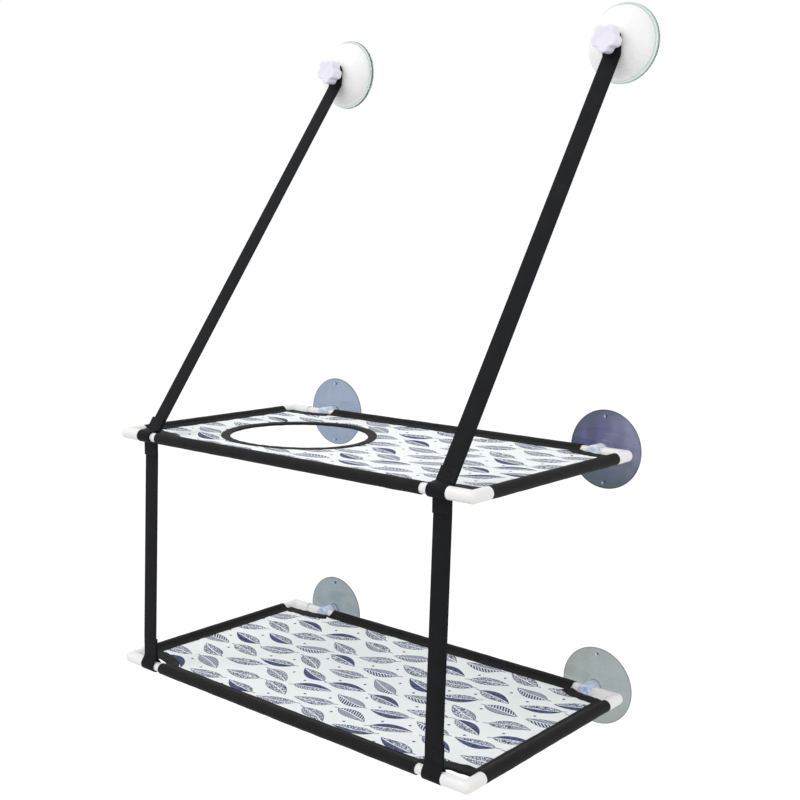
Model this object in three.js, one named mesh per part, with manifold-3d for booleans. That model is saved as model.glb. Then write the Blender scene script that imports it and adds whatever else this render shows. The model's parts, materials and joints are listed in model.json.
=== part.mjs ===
// A two-deck cat window hammock that hangs on a pane of glass.
// Millimetres, +Z up, +X to the right as seen from the room, +Y towards the glass.
// The origin is on the glass, midway between the decks' sides, level with the upper deck's tubes.

import * as THREE from 'three';
import { mergeVertices } from 'three/addons/utils/BufferGeometryUtils.js';
import Module from 'manifold-3d';

const wasm = await Module();
wasm.setup();

// Layout, between centre lines of tubes and cups
const frameWidth = 578;
const frameDepth = 318;
const deckSpacing = 314;
const glassStandoff = 24.5;
const anchorRise = 500;

// Clearance between separate pieces, and how far a cut runs past what it cuts
const gap = 0.3;
const overrun = 5;

// Tubes and elbows
const tubeRadius = 6;
const tubeWall = 1.2;
const elbowRadius = 7.4;
const elbowBend = 5.5;
const elbowBore = 3.6;
const frontArm = 31;
const sideArm = 28;
const socketDepth = 19;

// Webbing straps
const strapWidth = 25;
const strapThickness = 1.6;
const bandStart = 8.5;
const seamStart = 12;
const seamEnd = 26;
const tabBelow = 18.5;

// Deck cups, pressed flat on the glass, with a neck that the back tube turns in
const cupRadius = 51;
const cupLip = 1.2;
const cupBack = 4.5;
const cupShoulder = 3.4;
const cupHollow = 1.8;
const cupSealWidth = 11;
const neckRadius = 9.5;
const neckFillet = 5;
const neckPastTube = 9.5;
const neckChamfer = 2.5;

// The decks have slid to the left in their necks, so more of the tube is bare beside the left ones
const leftReveal = 24.5;
const rightReveal = 2.5;
const nubInset = 8;
const nubRadius = 2;
const nubHeight = 2;

// Both straps lean to the right, by how far each anchor was set to the right of its strap's foot
const leftLean = 43;
const rightLean = 5.5;

// Anchor cups, with a screwed cover
const anchorRadius = 48;
const anchorLip = 3;
const anchorBack = 6;
const anchorHollow = 3;
const anchorSealWidth = 10;
const bossRadius = 11;
const bossFootRadius = 22;
const bossTop = 18;
const coverRadius = 44.5;
const coverWall = 2.2;
const coverTop = 26;
const coverBossRadius = 10;
const coverBossHeight = 2;

// Stud, washer and knob
const studRadius = 3;
const studFlangeRadius = 6;
const studFlangeDepth = 8;
const studFlangeThickness = 2;
const washerRadius = 9.5;
const washerThickness = 1.2;
const knobRadius = 17;
const knobLobeDepth = 3.4;
const knobLobes = 5;
const knobTurnedBy = Math.PI * 0.29;
const knobThickness = 17;
const knobBevel = 1.5;
const knobCollarRadius = 9;
const knobCollarHeight = 2;
const knobFace = 3.5;

// Sling, its sleeves and bindings
const panelThickness = 2;
const slingSag = 6;
const sleeveThickness = 1.2;
const tongueReach = 13;
const tongueThickness = 2.6;
const holeBandWidth = 12;
const bindingThickness = 3;
const tubeReveal = 10.5;
const neckClearance = 10;
const frontNotchDepth = 24;
const backNotchDepth = 18;
const cornerBandWidth = 17;
const notchPower = 2.4;

// Climb-through hole in the upper sling, midway between front and back
const holeRadius = 93;
const holeFromLeft = 168;

// Facets round a turn, and along a bend
const tubeSides = 14;
const boreSides = 10;
const cupSides = 24;
const holeSides = 40;
const nubSides = 6;
const elbowSteps = 7;
const domeSteps = 4;
const notchSteps = 6;
const slingCells = { across: 12, deep: 7 };
const lobePoints = 40;
const fullTurn = 2 * Math.PI;

// Places worked out from the sizes above
const backY = -glassStandoff;
const frontY = backY - frameDepth;
const midY = (backY + frontY) / 2;
const strapInset = frontArm + gap + strapWidth / 2;
const leftNeck = frontArm + leftReveal + neckRadius;
const rightNeck = frontArm + rightReveal + neckRadius;
const frontNotch = strapInset + strapWidth / 2 + tubeReveal;
const leftNotch = leftNeck + neckRadius + neckClearance;
const rightNotch = rightNeck + neckRadius + neckClearance;
const sideReveal = sideArm + gap;
const seam = tongueReach + gap;
const sleeveRadius = tubeRadius + gap + sleeveThickness;
const holeX = -frameWidth / 2 + holeFromLeft;
const holeY = midY;
const ringRadius = holeRadius + holeBandWidth;

const finish = (color, roughness, metalness = 0) =>
  new THREE.MeshStandardMaterial({ color, roughness, metalness });
const whitePipe = finish(0xf2efe9, 0.42);
const printedCloth = finish(0xe4e9f0, 0.9);
const blackCloth = finish(0x2a292b, 0.88);
const blackWebbing = finish(0x26272a, 0.82);
const blueVinyl = finish(0x8f9bb0, 0.16);
const clearVinyl = finish(0xd6e6e0, 0.12);
const whiteCover = finish(0xf1f0ee, 0.3);
const whiteKnob = finish(0xefecf7, 0.35);
const zincSteel = finish(0xb9bcc0, 0.35, 0.9);

// Solids

// Merged vertices, no collapsed triangles, and faces that point out.
function closed(geometry) {
  const bare = geometry.clone();
  bare.deleteAttribute('normal');
  bare.deleteAttribute('uv');
  const merged = mergeVertices(bare);
  const place = merged.getAttribute('position');
  const corner = [0, 1, 2].map(() => new THREE.Vector3());
  const kept = [];
  let volume = 0;
  for (let i = 0; i < merged.index.count; i += 3) {
    const triangle = [0, 1, 2].map((k) => merged.index.getX(i + k));
    if (new Set(triangle).size === 3) {
      triangle.forEach((vertex, k) => corner[k].fromBufferAttribute(place, vertex));
      volume += corner[0].dot(corner[1].clone().cross(corner[2]));
      kept.push(triangle);
    }
  }
  merged.setIndex(kept.flatMap(([a, b, c]) => (volume > 0 ? [a, b, c] : [a, c, b])));
  return merged;
}

function solid(geometry) {
  const whole = closed(geometry);
  return new wasm.Manifold(new wasm.Mesh({
    numProp: 3,
    vertProperties: new Float32Array(whole.getAttribute('position').array),
    triVerts: new Uint32Array(whole.index.array),
  }));
}

function geometryOf(manifold) {
  const mesh = manifold.getMesh();
  const geometry = new THREE.BufferGeometry();
  geometry.setAttribute('position', new THREE.BufferAttribute(mesh.vertProperties, 3));
  geometry.setIndex(new THREE.BufferAttribute(mesh.triVerts, 1));
  return geometry;
}

const cut = (body, ...tools) =>
  geometryOf(tools.reduce((rest, tool) => rest.subtract(solid(tool)), solid(body)));
const join = (body, ...others) =>
  geometryOf(others.reduce((sum, other) => sum.add(solid(other)), solid(body)));

// The radius of a faceted bore whose flats clear a round of this radius.
const clearOf = (radius, sides) => (radius + gap) / Math.cos(Math.PI / sides);

// Points are pairs of radius and height, turned about the Y axis.
function turned(points, sides) {
  return new THREE.LatheGeometry(points.map(([r, h]) => new THREE.Vector2(r, h)), sides);
}

const rod = (radius, from, to, sides) =>
  turned([[0, from], [radius, from], [radius, to], [0, to]], sides);
const pipe = (inner, outer, from, to, sides) =>
  turned([[inner, from], [outer, from], [outer, to], [inner, to], [inner, from]], sides);

// Turned pieces stand along +Y. These lay them along X, or point them from the glass to the room.
const alongX = (geometry) => geometry.rotateZ(-Math.PI / 2);
const toRoom = (geometry) => geometry.rotateX(Math.PI);

// An outline drawn in (across, up) and pushed along a third direction.
function pushed(outline, length, across, up, along, holes = []) {
  const shape = new THREE.Shape(outline);
  holes.forEach((hole) => shape.holes.push(new THREE.Path(hole)));
  const geometry = new THREE.ExtrudeGeometry(shape, { depth: length, bevelEnabled: false });
  return geometry.applyMatrix4(new THREE.Matrix4().makeBasis(across, up, along));
}

const xAxis = new THREE.Vector3(1, 0, 0);
const yAxis = new THREE.Vector3(0, 1, 0);
const zAxis = new THREE.Vector3(0, 0, 1);

function arc(radius, from, to, steps, centre = new THREE.Vector2()) {
  return Array.from({ length: steps + 1 }, (_, i) => {
    const angle = from + (to - from) * i / steps;
    return new THREE.Vector2(Math.cos(angle), Math.sin(angle)).multiplyScalar(radius).add(centre);
  });
}

// Webbing laid along a path of (y, z) points, centred on a given x.
function ribbon(path, x) {
  const sides = path.map((point, i) => {
    const before = path[Math.max(i - 1, 0)];
    const after = path[Math.min(i + 1, path.length - 1)];
    const inward = (i > 0 ? point.clone().sub(before) : after.clone().sub(point)).normalize();
    const outward = (i < path.length - 1 ? after.clone().sub(point) : inward.clone()).normalize();
    const mitre = inward.clone().add(outward).normalize();
    const reach = strapThickness / 2 / mitre.dot(inward);
    const normal = new THREE.Vector2(-mitre.y, mitre.x).multiplyScalar(reach);
    return [point.clone().add(normal), point.clone().sub(normal)];
  });
  const outline = [...sides.map((pair) => pair[0]), ...sides.map((pair) => pair[1]).reverse()];
  return pushed(outline, strapWidth, yAxis, zAxis, xAxis).translate(x - strapWidth / 2, 0, 0);
}

// The angle at which a band from this point touches a round about the origin; side is 1 or -1.
const touchAngle = (point, radius, side) =>
  Math.atan2(point.y, point.x) + side * Math.acos(radius / point.length());

const whole = new THREE.Group();

function add(parent, name, geometry, material) {
  const mesh = new THREE.Mesh(closed(geometry), material);
  mesh.name = name;
  parent.add(mesh);
}

// Frame of one deck

const tubeStart = frontArm - socketDepth;
const sideTubeStart = sideArm - socketDepth;

function frameTube(length) {
  return pipe(tubeRadius - tubeWall, tubeRadius, -length / 2, length / 2, tubeSides);
}

function addTubes(deck, name) {
  const wide = frameWidth - 2 * tubeStart;
  const deep = frameDepth - 2 * sideTubeStart;
  add(deck, `${name}_front_tube`, alongX(frameTube(wide)).translate(0, frontY, 0), whitePipe);
  add(deck, `${name}_back_tube`, alongX(frameTube(wide)).translate(0, backY, 0), whitePipe);
  add(deck, `${name}_left_tube`, frameTube(deep).translate(-frameWidth / 2, midY, 0), whitePipe);
  add(deck, `${name}_right_tube`, frameTube(deep).translate(frameWidth / 2, midY, 0), whitePipe);
}

// The corner is at the origin; the arms run along +X and +Y and are turned to the other corners.
function elbow() {
  const path = new THREE.CurvePath();
  const frontEnd = new THREE.Vector3(frontArm, 0, 0);
  const sideEnd = new THREE.Vector3(0, sideArm, 0);
  const frontBend = new THREE.Vector3(elbowBend, 0, 0);
  const sideBend = new THREE.Vector3(0, elbowBend, 0);
  path.add(new THREE.LineCurve3(frontEnd, frontBend));
  path.add(new THREE.QuadraticBezierCurve3(frontBend, new THREE.Vector3(), sideBend));
  path.add(new THREE.LineCurve3(sideBend, sideEnd));
  const outline = new THREE.Shape(arc(elbowRadius, 0, fullTurn, tubeSides).slice(1));
  const outside = new THREE.ExtrudeGeometry(outline, {
    steps: elbowSteps,
    extrudePath: path,
    bevelEnabled: false,
  });
  const socket = clearOf(tubeRadius, tubeSides);
  return cut(
    outside,
    alongX(rod(socket, tubeStart - gap, frontArm + overrun, tubeSides)),
    rod(socket, sideTubeStart - gap, sideArm + overrun, tubeSides),
    alongX(rod(elbowBore, 0, frontArm, boreSides)),
    rod(elbowBore, 0, sideArm, boreSides),
  );
}

const frontCut = { y: frontY, inY: 1, notchDepth: frontNotchDepth };
const backCut = { y: backY, inY: -1, notchDepth: backNotchDepth };
const leftSide = { x: -frameWidth / 2, inX: 1 };
const rightSide = { x: frameWidth / 2, inX: -1 };
const corners = [
  { name: 'front_left', ...leftSide, ...frontCut, notchWidth: frontNotch },
  { name: 'front_right', ...rightSide, ...frontCut, notchWidth: frontNotch },
  { name: 'back_left', ...leftSide, ...backCut, notchWidth: leftNotch },
  { name: 'back_right', ...rightSide, ...backCut, notchWidth: rightNotch },
];

function addElbows(deck, name) {
  for (const corner of corners) {
    const piece = elbow().scale(corner.inX, corner.inY, 1).translate(corner.x, corner.y, 0);
    add(deck, `${name}_${corner.name}_elbow`, piece, whitePipe);
  }
}

// Sling of one deck

const halfWide = frameWidth / 2 - seam;
const halfDeep = frameDepth / 2 - seam;

function sagAt(x, y) {
  const across = Math.min(Math.abs(x) / halfWide, 1);
  const deep = Math.min(Math.abs(y - midY) / halfDeep, 1);
  return -slingSag * (1 - across ** 2) * (1 - deep ** 2);
}

function sagged(geometry) {
  const place = geometry.getAttribute('position');
  for (let i = 0; i < place.count; i += 1) {
    place.setZ(i, place.getZ(i) + sagAt(place.getX(i), place.getY(i)));
  }
  return geometry;
}

// A sleeve's section: a fabric ring round the tube, with the seam tongue towards the sling.
function sleeve(length, across, along) {
  const lip = Math.asin(tongueThickness / 2 / sleeveRadius);
  const outline = [
    ...arc(sleeveRadius, lip, fullTurn - lip, tubeSides),
    new THREE.Vector2(tongueReach, -tongueThickness / 2),
    new THREE.Vector2(tongueReach, tongueThickness / 2),
  ];
  const bore = arc(clearOf(tubeRadius, tubeSides), 0, fullTurn, tubeSides).slice(1);
  return pushed(outline, length, across, zAxis, along, [bore]);
}

function addSleeves(deck, name) {
  const front = frameWidth - 2 * frontNotch;
  const back = frameWidth - leftNotch - rightNotch;
  const side = frameDepth - 2 * sideReveal;
  const sideStart = frontY + sideReveal;
  const inward = { front: yAxis, back: yAxis.clone().negate(), left: xAxis, right: xAxis.clone().negate() };
  add(deck, `${name}_front_sleeve`,
    sleeve(front, inward.front, xAxis).translate(-front / 2, frontY, 0), blackCloth);
  add(deck, `${name}_back_sleeve`,
    sleeve(back, inward.back, xAxis).translate(leftNotch - frameWidth / 2, backY, 0), blackCloth);
  add(deck, `${name}_left_sleeve`,
    sleeve(side, inward.left, yAxis).translate(-frameWidth / 2, sideStart, 0), blackCloth);
  add(deck, `${name}_right_sleeve`,
    sleeve(side, inward.right, yAxis).translate(frameWidth / 2, sideStart, 0), blackCloth);
}

// A rounded corner cut-out, grown by some width. Its own corner is at the origin, and it runs from
// the seam on one side to the seam on the other.
function notchEdge(corner, grown) {
  const wide = corner.notchWidth + grown;
  const deep = corner.notchDepth + grown;
  const from = Math.asin((seam / deep) ** (notchPower / 2));
  const to = Math.acos((seam / wide) ** (notchPower / 2));
  return Array.from({ length: notchSteps + 1 }, (_, i) => {
    const angle = from + (to - from) * i / notchSteps;
    return new THREE.Vector2(
      wide * Math.cos(angle) ** (2 / notchPower),
      deep * Math.sin(angle) ** (2 / notchPower),
    );
  });
}

const atCorner = (geometry, corner) =>
  geometry.scale(corner.inX, corner.inY, 1).translate(corner.x, corner.y, 0);

function cornerBinding(corner) {
  const outer = notchEdge(corner, 0);
  const inner = notchEdge(corner, cornerBandWidth);
  const band = pushed([...inner, ...outer.reverse()], bindingThickness, xAxis, yAxis, zAxis);
  return sagged(atCorner(band.translate(0, 0, -bindingThickness / 2), corner));
}

function cornerCut(corner) {
  const edge = notchEdge(corner, cornerBandWidth + gap);
  const outline = [
    new THREE.Vector2(0, 0),
    new THREE.Vector2(edge[0].x, 0),
    ...edge,
    new THREE.Vector2(0, edge[notchSteps].y),
  ];
  const height = slingSag + panelThickness + overrun;
  const block = pushed(outline, 2 * height, xAxis, yAxis, zAxis).translate(0, 0, -height);
  return atCorner(block, corner);
}

function panel(hasHole) {
  const slab = new THREE.BoxGeometry(
    2 * halfWide, 2 * halfDeep, panelThickness, slingCells.across, slingCells.deep, 1,
  );
  const cuts = corners.map(cornerCut);
  if (hasHole) {
    const reach = slingSag + panelThickness + overrun;
    const post = rod(clearOf(ringRadius, holeSides), -reach, reach, holeSides).rotateX(Math.PI / 2);
    cuts.push(post.translate(holeX, holeY, 0));
  }
  return cut(sagged(slab.translate(0, midY, 0)), ...cuts);
}

function holeBinding() {
  const ring = pipe(holeRadius, ringRadius, -bindingThickness / 2, bindingThickness / 2, holeSides);
  return sagged(ring.rotateX(Math.PI / 2).translate(holeX, holeY, 0));
}

function addSling(deck, name, hasHole) {
  add(deck, `${name}_sling`, panel(hasHole), printedCloth);
  addSleeves(deck, name);
  for (const corner of corners) {
    add(deck, `${name}_${corner.name}_binding`, cornerBinding(corner), blackCloth);
  }
  if (hasHole) {
    add(deck, `${name}_hole_binding`, holeBinding(), blackCloth);
  }
}

// Cups of one deck

function deckCup() {
  const neckTop = glassStandoff + neckPastTube;
  const seal = cupRadius - cupSealWidth;
  const body = toRoom(turned([
    [0, cupHollow],
    [seal / 2, cupHollow],
    [seal, 0],
    [cupRadius, 0],
    [cupRadius, cupLip],
    [seal, cupShoulder],
    [neckRadius + neckFillet, cupBack],
    [neckRadius, cupBack + neckFillet],
    [neckRadius, neckTop - neckChamfer],
    [neckRadius - neckChamfer, neckTop],
    [0, neckTop],
  ], cupSides));
  const nubs = [1, -1].map((side) => {
    const nub = toRoom(rod(nubRadius, cupLip / 2, cupBack + nubHeight, nubSides));
    return nub.translate(0, 0, side * (cupRadius - nubInset));
  });
  const bore = alongX(rod(clearOf(tubeRadius, tubeSides), -cupRadius, cupRadius, tubeSides));
  return cut(join(body, ...nubs), bore.translate(0, -glassStandoff, 0));
}

function addDeckCups(name, z) {
  const places = { left: leftNeck - frameWidth / 2, right: frameWidth / 2 - rightNeck };
  for (const [side, x] of Object.entries(places)) {
    add(whole, `${name}_${side}_cup`, deckCup().translate(x, 0, z), blueVinyl);
  }
}

// Anchor cup, cover, stud, washer and knob, stacked outwards from the glass

const flangeTop = studFlangeDepth + studFlangeThickness;
const coverFace = coverTop + coverBossHeight;
const strapBack = coverFace + gap;
const strapFront = strapBack + strapThickness;
const washerBack = strapFront + gap;
const knobBack = washerBack + washerThickness + gap;
const knobBase = knobBack + knobCollarHeight;
const knobFront = knobBase + knobThickness;
const studEnd = knobFront - knobFace;
const studBore = clearOf(studRadius, boreSides);
const coverSeat = anchorBack + gap;

function anchorCup() {
  const seal = anchorRadius - anchorSealWidth;
  const pocket = clearOf(studFlangeRadius, cupSides);
  return toRoom(turned([
    [0, anchorHollow],
    [seal / 2, anchorHollow],
    [seal, 0],
    [anchorRadius, 0],
    [anchorRadius, anchorLip],
    [coverRadius, anchorBack],
    [bossFootRadius, anchorBack],
    [bossRadius, bossTop - coverWall],
    [bossRadius, bossTop],
    [studBore, bossTop],
    [studBore, flangeTop + gap],
    [pocket, flangeTop + gap],
    [pocket, studFlangeDepth - gap],
    [0, studFlangeDepth - gap],
  ], cupSides));
}

// The dome runs from the rim up to the foot of its boss on a quarter of an ellipse.
function domeLine(radius, top, foot) {
  const end = Math.acos(foot / radius);
  return Array.from({ length: domeSteps + 1 }, (_, i) => {
    const angle = end * i / domeSteps;
    return [radius * Math.cos(angle), coverSeat + (top - coverSeat) * Math.sin(angle) / Math.sin(end)];
  });
}

function anchorCover() {
  const outside = domeLine(coverRadius, coverTop, coverBossRadius);
  const inside = domeLine(coverRadius - coverWall, coverTop - coverWall, coverBossRadius);
  return toRoom(turned([
    ...outside,
    [coverBossRadius, coverFace],
    [studBore, coverFace],
    [studBore, coverTop - coverWall],
    ...inside.reverse(),
    outside[0],
  ], cupSides));
}

function stud() {
  return toRoom(turned([
    [0, studFlangeDepth],
    [studFlangeRadius, studFlangeDepth],
    [studFlangeRadius, flangeTop],
    [studRadius, flangeTop],
    [studRadius, studEnd],
    [0, studEnd],
  ], boreSides));
}

function washer() {
  return toRoom(pipe(studBore, washerRadius, washerBack, washerBack + washerThickness, tubeSides));
}

function knob() {
  const outline = Array.from({ length: lobePoints }, (_, i) => {
    const angle = fullTurn * i / lobePoints;
    const hollow = (1 - Math.cos(knobLobes * (angle - knobTurnedBy))) / 2;
    const reach = knobRadius - knobBevel - knobLobeDepth * hollow ** 2;
    return new THREE.Vector2(Math.cos(angle), Math.sin(angle)).multiplyScalar(reach);
  });
  const head = new THREE.ExtrudeGeometry(new THREE.Shape(outline), {
    depth: knobThickness - 2 * knobBevel,
    bevelThickness: knobBevel,
    bevelSize: knobBevel,
    bevelSegments: 1,
  });
  head.rotateX(Math.PI / 2).translate(0, -knobBase - knobBevel, 0);
  const collar = toRoom(rod(knobCollarRadius, knobBack, knobBase + knobBevel, cupSides));
  const bore = toRoom(rod(studBore, knobBack - overrun, studEnd + gap, boreSides));
  return cut(join(head, collar), bore);
}

// Straps. Paths are (y, z) points, those about a tube first taken from that tube's own centre.

const bandRadius = tubeRadius + gap + strapThickness / 2;
const layer = strapThickness + gap;
const loopSteps = 10;
const frontTube = new THREE.Vector2(frontY, 0);
const lowerTube = new THREE.Vector2(frontY, -deckSpacing);
const hangerFoot = new THREE.Vector2(frontY + bandRadius, 0);
const hangerTop = new THREE.Vector2(-strapBack - strapThickness / 2, anchorRise - tabBelow);
const hangerRun = hangerTop.clone().sub(hangerFoot).normalize();

// The arc of a loop of webbing that clears the tube with its flats.
function loopArc(from, to) {
  const flat = Math.cos((to - from) / loopSteps / 2);
  return arc(bandRadius / flat, from, to, loopSteps);
}

// Moves a ribbon's points sideways in step with their height, from nothing at the tube to all at the stud.
function leaned(geometry, sideways) {
  return geometry.applyMatrix4(new THREE.Matrix4().makeShear(0, 0, 0, 0, sideways / anchorRise, 0));
}

// Its tab ends in a round about the stud.
function hangerStrap(x, studX) {
  const tabRadius = strapWidth / 2;
  const path = [
    hangerFoot.clone().addScaledVector(hangerRun, strapThickness),
    hangerTop,
    new THREE.Vector2(hangerTop.x, anchorRise + tabRadius),
  ];
  const hole = toRoom(rod(studBore, 0, knobFront, boreSides));
  const trimming = [
    ...arc(tabRadius, 0, Math.PI, tubeSides),
    ...arc(strapWidth, Math.PI, 0, tubeSides),
  ];
  const trim = pushed(trimming, knobFront, xAxis, zAxis, yAxis.clone().negate());
  return cut(
    leaned(ribbon(path, x), studX - x),
    hole.translate(studX, 0, anchorRise),
    trim.translate(studX, 0, anchorRise),
  );
}

// Sewn to the hanger strap above the tube and to the link strap below it, round the tube's front.
function strapLoop(x) {
  const side = new THREE.Vector2(-hangerRun.y, hangerRun.x).multiplyScalar(layer);
  const above = (along) => new THREE.Vector2(bandRadius, 0).add(side).addScaledVector(hangerRun, along);
  const below = (along) => new THREE.Vector2(bandRadius - layer, -along);
  const from = touchAngle(above(bandStart), bandRadius, 1);
  const to = touchAngle(below(bandStart), bandRadius, -1) + fullTurn;
  const path = [
    above(seamEnd),
    above(bandStart),
    ...loopArc(from, to),
    below(bandStart),
    below(seamEnd),
  ];
  return ribbon(path.map((point) => point.add(frontTube)), x);
}

// Down behind the upper tube, then round the lower tube and back up to its own seam.
function linkStrap(x) {
  const near = (along) => new THREE.Vector2(-layer / 2, along);
  const far = (along) => new THREE.Vector2(layer / 2, along);
  const from = touchAngle(near(seamStart), bandRadius, 1);
  const to = touchAngle(far(seamStart), bandRadius, -1) + fullTurn;
  const loop = [
    near(seamEnd + seamStart),
    near(seamStart),
    ...loopArc(from, to),
    far(seamStart),
    far(seamEnd + seamStart),
  ];
  const path = [
    hangerFoot.clone(),
    hangerFoot.clone().setY(-seamEnd),
    ...loop.map((point) => point.add(lowerTube)),
  ];
  return ribbon(path, x);
}

function addSide(side, x, lean) {
  const studX = x + lean;
  const anchor = new THREE.Group();
  anchor.position.set(studX, 0, anchorRise);
  add(anchor, `${side}_anchor_cup`, anchorCup(), clearVinyl);
  add(anchor, `${side}_cup_cover`, anchorCover(), whiteCover);
  add(anchor, `${side}_stud`, stud(), zincSteel);
  add(anchor, `${side}_washer`, washer(), zincSteel);
  add(anchor, `${side}_knob`, knob(), whiteKnob);
  whole.add(anchor);
  add(whole, `${side}_hanger_strap`, hangerStrap(x, studX), blackWebbing);
  add(whole, `${side}_strap_loop`, strapLoop(x), blackWebbing);
  add(whole, `${side}_link_strap`, linkStrap(x), blackWebbing);
}

for (const { name, z, hasHole } of [
  { name: 'upper', z: 0, hasHole: true },
  { name: 'lower', z: -deckSpacing, hasHole: false },
]) {
  const deck = new THREE.Group();
  deck.position.z = z;
  addTubes(deck, name);
  addElbows(deck, name);
  addSling(deck, name, hasHole);
  whole.add(deck);
  addDeckCups(name, z);
}
const strapX = frameWidth / 2 - strapInset;
addSide('left', -strapX, leftLean);
addSide('right', strapX, rightLean);

export default whole;
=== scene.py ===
import json
import math

import bmesh
import bpy
from mathutils import Matrix, Vector, noise


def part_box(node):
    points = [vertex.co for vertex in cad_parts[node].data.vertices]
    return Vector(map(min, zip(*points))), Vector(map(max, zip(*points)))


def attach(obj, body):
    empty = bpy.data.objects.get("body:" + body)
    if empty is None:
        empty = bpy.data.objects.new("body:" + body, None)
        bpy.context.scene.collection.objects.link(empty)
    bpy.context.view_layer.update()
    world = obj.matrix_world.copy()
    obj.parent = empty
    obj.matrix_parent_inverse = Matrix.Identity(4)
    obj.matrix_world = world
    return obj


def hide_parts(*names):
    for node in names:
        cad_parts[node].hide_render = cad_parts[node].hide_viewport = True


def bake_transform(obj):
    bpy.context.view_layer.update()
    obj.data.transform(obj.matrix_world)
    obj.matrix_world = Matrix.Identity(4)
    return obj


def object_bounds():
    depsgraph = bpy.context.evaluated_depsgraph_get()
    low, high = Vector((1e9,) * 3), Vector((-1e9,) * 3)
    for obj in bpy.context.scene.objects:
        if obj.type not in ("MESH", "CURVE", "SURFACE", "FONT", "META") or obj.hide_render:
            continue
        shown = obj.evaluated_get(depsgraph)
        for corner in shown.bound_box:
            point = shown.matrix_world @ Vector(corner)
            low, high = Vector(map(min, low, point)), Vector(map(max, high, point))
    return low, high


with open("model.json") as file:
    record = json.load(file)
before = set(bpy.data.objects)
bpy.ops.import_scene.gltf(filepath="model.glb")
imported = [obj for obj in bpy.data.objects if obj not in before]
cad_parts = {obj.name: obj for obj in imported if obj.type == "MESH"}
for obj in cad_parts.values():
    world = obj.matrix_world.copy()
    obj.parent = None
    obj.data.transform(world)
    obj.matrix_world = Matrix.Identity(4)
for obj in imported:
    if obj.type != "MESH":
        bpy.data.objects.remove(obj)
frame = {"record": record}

# A two-deck perch that hangs on a pane at y = 0. Metres, z up, and the room is on the side of negative y.

cadLow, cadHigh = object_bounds()
fullTurn = 2 * math.pi
gap = 0.0003  # between separate pieces
mergeWithin = 1e-6
bodyOf = {node: body for body, nodes in frame["record"]["behaviour"]["bodies"].items() for node in nodes}
hands = ("left", "right")
sides = ("front", "back", *hands)


def middle(node):
    low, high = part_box(node)
    return (low + high) / 2


# Camera

camera = {
    "place": (0.9664, -1.2647, 0.2548),
    "azimuth": 40.08,
    "pitch": 7.75,
    "roll": 0.71,
    "lens": 51.3,
    "sensor": 36,
}


def addCamera():
    data = bpy.data.cameras.new("camera")
    data.lens = camera["lens"]
    data.sensor_width = camera["sensor"]
    viewer = bpy.data.objects.new("camera", data)
    heading = Matrix.Rotation(math.radians(camera["azimuth"]), 4, "Z")
    tilt = Matrix.Rotation(math.radians(90 - camera["pitch"]), 4, "X")
    roll = Matrix.Rotation(math.radians(camera["roll"]), 4, "Z")
    viewer.matrix_world = Matrix.Translation(camera["place"]) @ heading @ tilt @ roll
    bpy.context.scene.collection.objects.link(viewer)
    bpy.context.scene.camera = viewer


addCamera()
print("camera placed")


# Material nodes

class Wire:
    # A node's output that can stand in a sum, so that a pattern reads as its formula.
    def __init__(self, tree, socket):
        self.tree = tree
        self.socket = socket

    def math(self, operation, *others):
        node = self.tree.nodes.new("ShaderNodeMath")
        node.operation = operation
        for socket, value in zip(node.inputs, (self, *others)):
            plug(self.tree, socket, value)
        return Wire(self.tree, node.outputs[0])

    def __add__(self, other):
        return self.math("ADD", other)

    def __sub__(self, other):
        return self.math("SUBTRACT", other)

    def __rsub__(self, other):
        return (self * -1).math("ADD", other)

    def __mul__(self, other):
        return self.math("MULTIPLY", other)

    def __truediv__(self, other):
        return self.math("DIVIDE", other)

    def size(self):
        return self.math("ABSOLUTE")

    def whole(self):
        return self.math("FLOOR")

    def least(self, other):
        return self.math("MINIMUM", other)

    def most(self, other):
        return self.math("MAXIMUM", other)

    def held(self):
        return self.most(0.0).least(1.0)

    def past(self, start, reach):
        # 0 up to the start, then rising to 1 over the reach.
        return ((self - start) / reach).held()

    def over(self, limit):
        return self.math("GREATER_THAN", limit)


def plug(tree, socket, value):
    if isinstance(value, Wire):
        tree.links.new(value.socket, socket)
    else:
        socket.default_value = value


def socketOf(sockets, label):
    return next(s for s in sockets if s.enabled and s.name.replace(" ", "") == label)


def put(tree, kind, settings=(), outlet=0, **inputs):
    # Adds a node. An input's label is its socket's name with the spaces left out.
    node = tree.nodes.new("ShaderNode" + kind)
    for name, value in dict(settings).items():
        setattr(node, name, value)
    for label, value in inputs.items():
        plug(tree, socketOf(node.inputs, label), value)
    return Wire(tree, node.outputs[outlet])


def mixed(tree, share, first, second):
    node = tree.nodes.new("ShaderNodeMix")
    node.data_type = "RGBA"
    for label, value in (("Factor", share), ("A", first), ("B", second)):
        plug(tree, socketOf(node.inputs, label), value)
    return Wire(tree, socketOf(node.outputs, "Result"))


def parted(tree, vector):
    node = tree.nodes.new("ShaderNodeSeparateXYZ")
    plug(tree, node.inputs[0], vector)
    return [Wire(tree, socket) for socket in node.outputs]


def surface(tree, kind):
    # The piece's own Object coordinates, or its UV map in metres.
    node = tree.nodes.new("ShaderNodeTexCoord")
    return Wire(tree, node.outputs[kind])


def newMaterial(name, **plain):
    # Plain values go on the shader's own sockets.
    material = bpy.data.materials.new(name)
    material.use_nodes = True
    tree = material.node_tree
    shader = tree.nodes["Principled BSDF"]
    for label, value in plain.items():
        socketOf(shader.inputs, label).default_value = value
    return material, tree, shader


def colour(red, green, blue):
    return (red, green, blue, 1.0)


def clouds(tree, place, scale, detail=2.0):
    return put(tree, "TexNoise", Vector=place, Scale=scale, Detail=detail)


def patches(tree, place, scale, detail, start, gain):
    # Clouds made crisper: 0 up to the start, then rising by the gain to 1.
    return ((clouds(tree, place, scale, detail) - start) * gain).held()


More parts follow.
